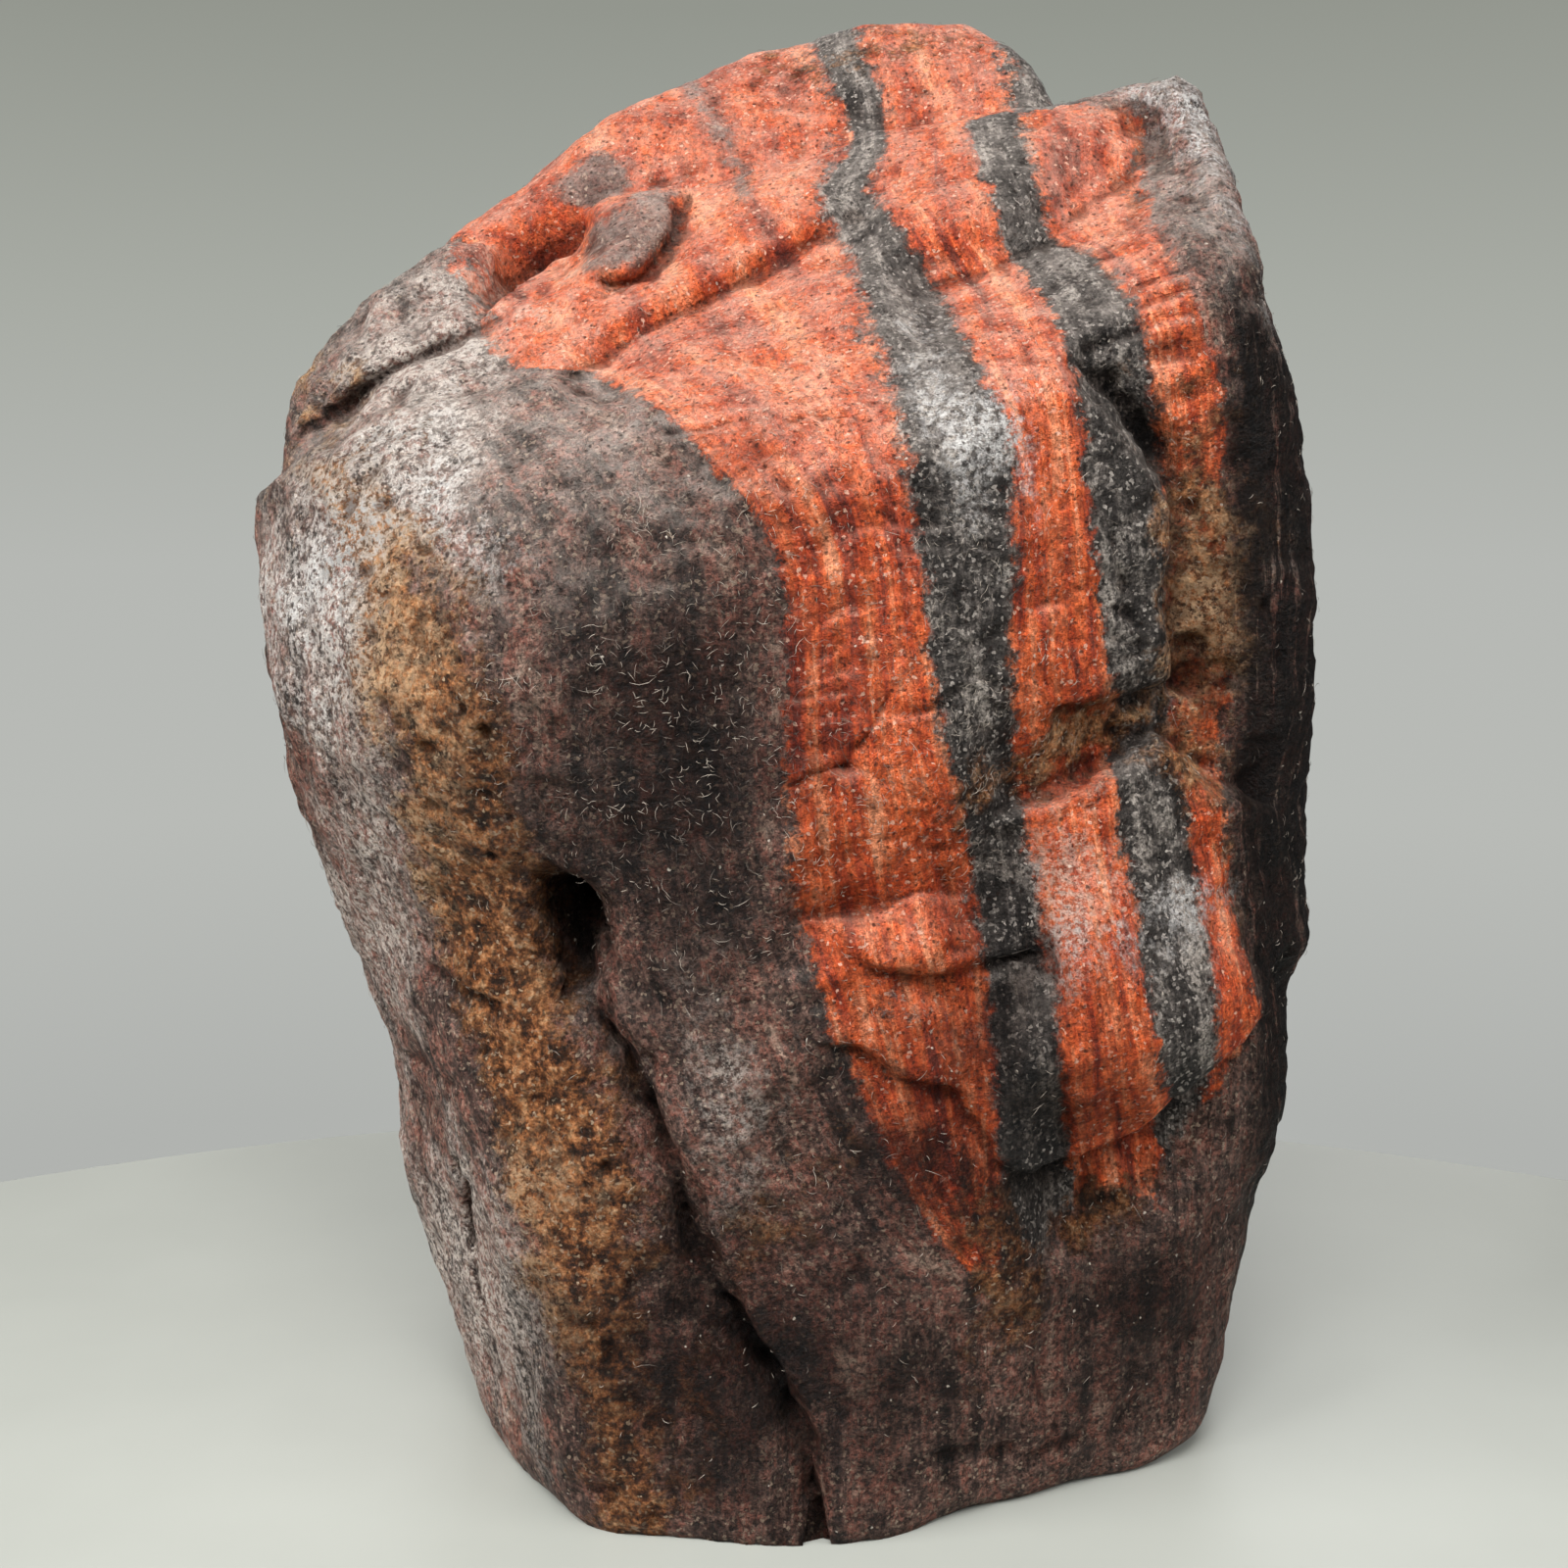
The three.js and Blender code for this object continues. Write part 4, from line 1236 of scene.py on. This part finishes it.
def veiled(tree, space, share, colour):
    sparkle_noise = add_node(tree, "ShaderNodeTexNoise", inputs={
        "Vector": space, "Scale": 1 / SPARKLE_SIZE, "Detail": 5, "Roughness": 0.8})
    sparkle = add_node(tree, "ShaderNodeMapRange", inputs={
        "Value": sparkle_noise, "From Min": 0.45, "From Max": 0.56, "To Min": 0.05, "To Max": 1.3})
    glinted = add_node(tree, "ShaderNodeMath", {"operation": "MULTIPLY"}, {0: share["painted_glint"], 1: sparkle})
    dust_sheen_and_light = add_node(tree, "ShaderNodeMath", {"operation": "MULTIPLY_ADD"}, {
        0: share["painted_light"], 1: sparkle, 2: dust_and_sheen_share(tree, space, share)})
    bare_red = add_node(tree, "ShaderNodeMath", {"operation": "SUBTRACT"}, {
        0: share["red"], 1: share["covered"]})
    dust_and_sheen_tint = DUST_AND_SHEEN_TINT
    for shown, tint in ((bare_red, DUST_AND_SHEEN_ON_RED_TINT), (share["ochre"], DUST_AND_SHEEN_ON_OCHRE_TINT)):
        dust_and_sheen_tint = add_node(tree, "ShaderNodeMix", {"data_type": "RGBA"}, {
            "Factor": shown, "A": dust_and_sheen_tint, "B": tint})
    for shown, tint in ((dust_sheen_and_light, dust_and_sheen_tint), (glinted, GLINT_TINT)):
        colour = add_node(tree, "ShaderNodeMix", {"data_type": "RGBA"}, {
            "Factor": shown, "A": colour, "B": tint})
    return colour


# %% [markdown]
# The rim beyond the last red band is nearly black, but for a few brown streaks along the layers.
# The front under the bulge and towards the foot, the hollows and the fine pores are darkened with
# painted shade, and the hollows also with the dirt that settles there; the deepest hollows get a
# near-black painted shadow. Multiplying darkens them and keeps their grain.

# %% Dark rim, and painted shade under the bulge, low on the front, in hollows and in pores
# the rim's own dark colour, then painted shade and shadow
DARKENED = {"rim": "#1E1410", "painted_shade": "#49372F", "hollow_shade_and_dirt": "#6E4A3C", "deep_shadow": "#0A0605", "pore_shade": "#5E4336"}


def darkened(tree, layers, share, colour):
    streaks = add_node(tree, "ShaderNodeTexNoise", inputs={
        "Vector": layers, "Scale": 1.0, "Detail": 6, "Roughness": 0.75})
    between = add_node(tree, "ShaderNodeMapRange", inputs={
        "Value": streaks, "From Min": 0.62, "From Max": 0.55, "To Min": 0.5})
    share["rim"] = add_node(tree, "ShaderNodeMath", {"operation": "MULTIPLY"}, {
        0: share["rim"], 1: between})
    for name, tint in DARKENED.items():
        colour = add_node(tree, "ShaderNodeMix", {"data_type": "RGBA", "blend_type": "MULTIPLY"}, {
            "Factor": share[name], "A": colour, "B": tint})
    return colour


# %% [markdown]
# Small dark pits and stray white grains break up every broken face. Each is a dot in a cell of
# its own, so the spacing of the cells says how many there are.

# %% Dark pits and white grains
DOTS = [  # spacing in mm, radius as a share of it, strength, colour
    (0.7, 0.22, 0.7, "#20130E"),
    (1.7, 0.06, 0.6, "#E8DCCB"),
]
DOT_CORE = 0.6  # the share of a dot's radius that has its full strength


def dotted(tree, bent, colour):
    for spacing, radius, strength, tint in DOTS:
        cells = add_node(tree, "ShaderNodeTexVoronoi", inputs={"Vector": bent, "Scale": 1 / spacing})
        dot = add_node(tree, "ShaderNodeMapRange", inputs={
            "Value": cells, "From Min": radius, "From Max": radius * DOT_CORE, "To Max": strength})
        colour = add_node(tree, "ShaderNodeMix", {"data_type": "RGBA"}, {
            "Factor": dot, "A": colour, "B": tint})
    return colour


# %% [markdown]
# A broken, weathered stone is dull: it scatters light at every grain, and only its smoothest
# spots have a faint sheen. So the roughness varies round one half, the reflection is weak, and
# two bumps, one coarse and one from the grain, break up the light. Quartz has an IOR of 1.54 and
# iron oxides have more than 2, so 1.6 stands for a rock that is mostly quartz.

# %% Banded ironstone, broken and weathered
HACKLE_SIZE = 1.3
HACKLE_HEIGHT = 1.1
RELIEF_HEIGHT = 1.5


def ironstone_material():
    material = bpy.data.materials.new("banded ironstone, broken and weathered")
    tree = emptied(material)
    number = {name: add_node(tree, "ShaderNodeAttribute", {"attribute_name": name}).outputs["Fac"]
              for name in NUMBERS}
    at = coordinates(tree, number["bedding"])
    share = ragged_shares(tree, at["space"], number)
    colour, relief = minerals(tree, at, share)
    colour = veiled(tree, at["space"], share, colour)
    colour = darkened(tree, at["layers"], share, colour)
    colour = dotted(tree, at["bent"], colour)

    hackle = add_node(tree, "ShaderNodeTexNoise", inputs={
        "Vector": at["space"], "Scale": 1 / HACKLE_SIZE, "Detail": 5, "Roughness": 0.65})
    coarse = add_node(tree, "ShaderNodeBump", inputs={
        "Height": hackle, "Strength": 1.0, "Distance": HACKLE_HEIGHT * MM})
    fine = add_node(tree, "ShaderNodeBump", inputs={
        "Height": relief, "Strength": 1.0, "Distance": RELIEF_HEIGHT * MM, "Normal": coarse})
    roughness = add_node(tree, "ShaderNodeMapRange", inputs={
        "Value": hackle, "From Min": 0.35, "From Max": 0.65, "To Min": 0.62, "To Max": 0.42})
    shader = add_node(tree, "ShaderNodeBsdfPrincipled", inputs={
        "Base Color": colour, "Roughness": roughness, "IOR": 1.6, "Specular IOR Level": 0.1,
        "Normal": fine})
    add_node(tree, "ShaderNodeOutputMaterial", inputs={"Surface": shader})
    return material


stone.data.materials.append(ironstone_material())
print("nodes in the stone's material:", len(stone.data.materials[0].node_tree.nodes))

# %% [markdown]
# Lint is cotton and other household fibre. It is matt, and some threads are pale and some dark,
# so the shade changes every few millimetres. The fuzz on a thread is too fine to show, so it is
# drawn as wide as a tenth of a millimetre.

# %% Lint fibre, pale
SHADES_SIZE = 3
FUZZ_SIZE = 0.1
FUZZ_HEIGHT = 0.02


def lint_material():
    material = bpy.data.materials.new("lint fibre, pale")
    tree = emptied(material)
    place = add_node(tree, "ShaderNodeTexCoord")
    shades = add_node(tree, "ShaderNodeTexNoise", inputs={
        "Vector": place.outputs["Object"], "Scale": 1 / (SHADES_SIZE * MM), "Detail": 2})
    tint = add_node(tree, "ShaderNodeValToRGB", inputs={"Fac": shades}, ramp=[
        (0.38, "#3C342E"), (0.5, "#6C6158"), (0.62, "#B8AC9E")])
    fluff = add_node(tree, "ShaderNodeTexNoise", inputs={
        "Vector": place.outputs["Object"], "Scale": 1 / (FUZZ_SIZE * MM), "Detail": 2})
    fuzz = add_node(tree, "ShaderNodeBump", inputs={
        "Height": fluff, "Strength": 0.4, "Distance": FUZZ_HEIGHT * MM})
    shader = add_node(tree, "ShaderNodeBsdfPrincipled", inputs={
        "Base Color": tint, "Roughness": 0.8, "Normal": fuzz})
    add_node(tree, "ShaderNodeOutputMaterial", inputs={"Surface": shader})
    return material


fibres.data.materials.append(lint_material())
print("nodes in the lint's material:", len(fibres.data.materials[0].node_tree.nodes))

# %% [markdown]
# ## Floor, backdrop and light
# The stone stands on a plain pale round floor before a grey backdrop. The floor is satin laminate:
# its faint clouds keep it from looking like paper, and its sheen lies between gloss and matt.

# %% The floor
FLOOR_RADIUS = 150 * MM
FLOOR_MIDDLE_Y = -90 * MM
FLOOR_THICK = 6 * MM
CLOUDS_SIZE = 30
bpy.ops.mesh.primitive_cylinder_add(
    vertices=256, radius=FLOOR_RADIUS, depth=FLOOR_THICK, location=(0, FLOOR_MIDDLE_Y, -FLOOR_THICK / 2))
floor = bpy.context.object
floor.name = "floor"
print("floor, mm across:", 2 * FLOOR_RADIUS / MM)


def floor_material():
    material = bpy.data.materials.new("pale laminate, satin")
    tree = emptied(material)
    place = add_node(tree, "ShaderNodeTexCoord")
    clouds = add_node(tree, "ShaderNodeTexNoise", inputs={
        "Vector": place.outputs["Object"], "Scale": 1 / (CLOUDS_SIZE * MM), "Detail": 6})
    colour = add_node(tree, "ShaderNodeValToRGB", inputs={"Fac": clouds}, ramp=[
        (0.3, "#999B94"), (0.7, "#A0A29B")])
    shader = add_node(tree, "ShaderNodeBsdfPrincipled", inputs={"Base Color": colour, "Roughness": 0.45})
    add_node(tree, "ShaderNodeOutputMaterial", inputs={"Surface": shader})
    return material


floor.data.materials.append(floor_material())

# %% [markdown]
# The backdrop is the world itself, a grey that lightens towards the horizon. A lit paper backdrop
# does that too, because its light stands near the floor. What lights the stone from the room is a
# weaker grey, so the world has one look for the camera and one for the light it gives.

# %% Backdrop
ROOM_LIGHT = 0.12


def backdrop():
    world = bpy.data.worlds.new("grey backdrop")
    tree = emptied(world)
    place = add_node(tree, "ShaderNodeTexCoord")
    axes = add_node(tree, "ShaderNodeSeparateXYZ", inputs={"Vector": place.outputs["Generated"]})
    height = add_node(tree, "ShaderNodeMapRange", inputs={
        "Value": axes.outputs["Z"], "From Min": -0.35, "From Max": 0.25})
    look = add_node(tree, "ShaderNodeValToRGB", inputs={"Fac": height}, ramp=[
        (0.07, "#B1B3B0"), (0.30, "#B9BBB7"), (0.50, "#B6B8B4"), (0.70, "#A8ABA4"), (0.92, "#93968E")])
    seen = add_node(tree, "ShaderNodeBackground", inputs={"Color": look, "Strength": 1.0})
    given = add_node(tree, "ShaderNodeBackground", inputs={"Color": "#FFFFFF", "Strength": ROOM_LIGHT})
    ray = add_node(tree, "ShaderNodeLightPath")
    both = add_node(tree, "ShaderNodeMixShader", inputs={0: ray.outputs["Is Camera Ray"], 1: given, 2: seen})
    add_node(tree, "ShaderNodeOutputWorld", inputs={"Surface": both})
    return world


bpy.context.scene.world = backdrop()
print("world:", bpy.context.scene.world.name)

# %% [markdown]
# The light is one large soft box above and a little to the front, so tops are bright and the
# front falls off towards the foot. Two at the sides, of which the left one is stronger, let both
# flanks keep their shape. A weak one lights the back. Large lights near the stone, unlike small
# ones, give its steps soft shadows.

# %% Soft boxes
SOFT_BOXES = [  # name, place and what it points at in metres, width, height, watts
    ("overhead", (-0.02, -0.265, 0.39), (0, 0, 0.06), 0.24, 0.20, 2.5),
    ("left", (-0.40, -0.22, 0.28), (0, 0, 0.05), 0.30, 0.30, 3.5),
    ("right", (0.40, -0.25, 0.30), (0, 0, 0.05), 0.30, 0.30, 1.7),
    ("back", (0.05, 0.45, 0.25), (0, 0, 0.05), 0.35, 0.30, 0.6),
]


def soft_box(name, place, target, width, height, watts):
    data = bpy.data.lights.new(name, "AREA")
    data.shape = "RECTANGLE"
    data.size, data.size_y = width, height
    data.energy = watts
    light = bpy.data.objects.new(name, data)
    bpy.context.scene.collection.objects.link(light)
    away = np.array(place) - np.array(target)
    flat = math.hypot(away[0], away[1])
    light.location = place
    light.rotation_euler = (math.atan2(flat, away[2]), 0, math.atan2(away[0], -away[1]))


for box in SOFT_BOXES:
    soft_box(*box)
print("soft boxes, W:", {light.name: round(light.energy, 1) for light in bpy.data.lights})

# %% [markdown]
# ## Camera
# The camera stands a little above the middle of the stone and looks slightly down, from about
# 145 mm away, so near parts look larger than far ones.

# %% Camera
CAMERA_PLACE = np.array([0.0, -147.0, 68.7]) + STONE_MOVE
CAMERA_DOWN = 9.25
CAMERA_LENS = 46.6

camera_data = bpy.data.cameras.new("camera")
camera_data.lens = CAMERA_LENS
camera_data.clip_start = 1 * MM
camera = bpy.data.objects.new("camera", camera_data)
camera.location = CAMERA_PLACE * MM
camera.rotation_euler = (math.radians(90 - CAMERA_DOWN), 0, 0)
bpy.context.scene.collection.objects.link(camera)
bpy.context.scene.camera = camera
print("camera, mm:", CAMERA_PLACE.round(1), "lens, mm:", CAMERA_LENS)

# %% [markdown]
# Blender's usual view transform flattens bright colours, as film does. The standard one shows each
# colour as it is, so that the hex colours above stay true.

# %% View
bpy.context.scene.view_settings.view_transform = "Standard"
print("view transform:", bpy.context.scene.view_settings.view_transform)

# %% [markdown]
# Last, the view layer is brought up to date.

# %% Up to date
bpy.context.view_layer.update()
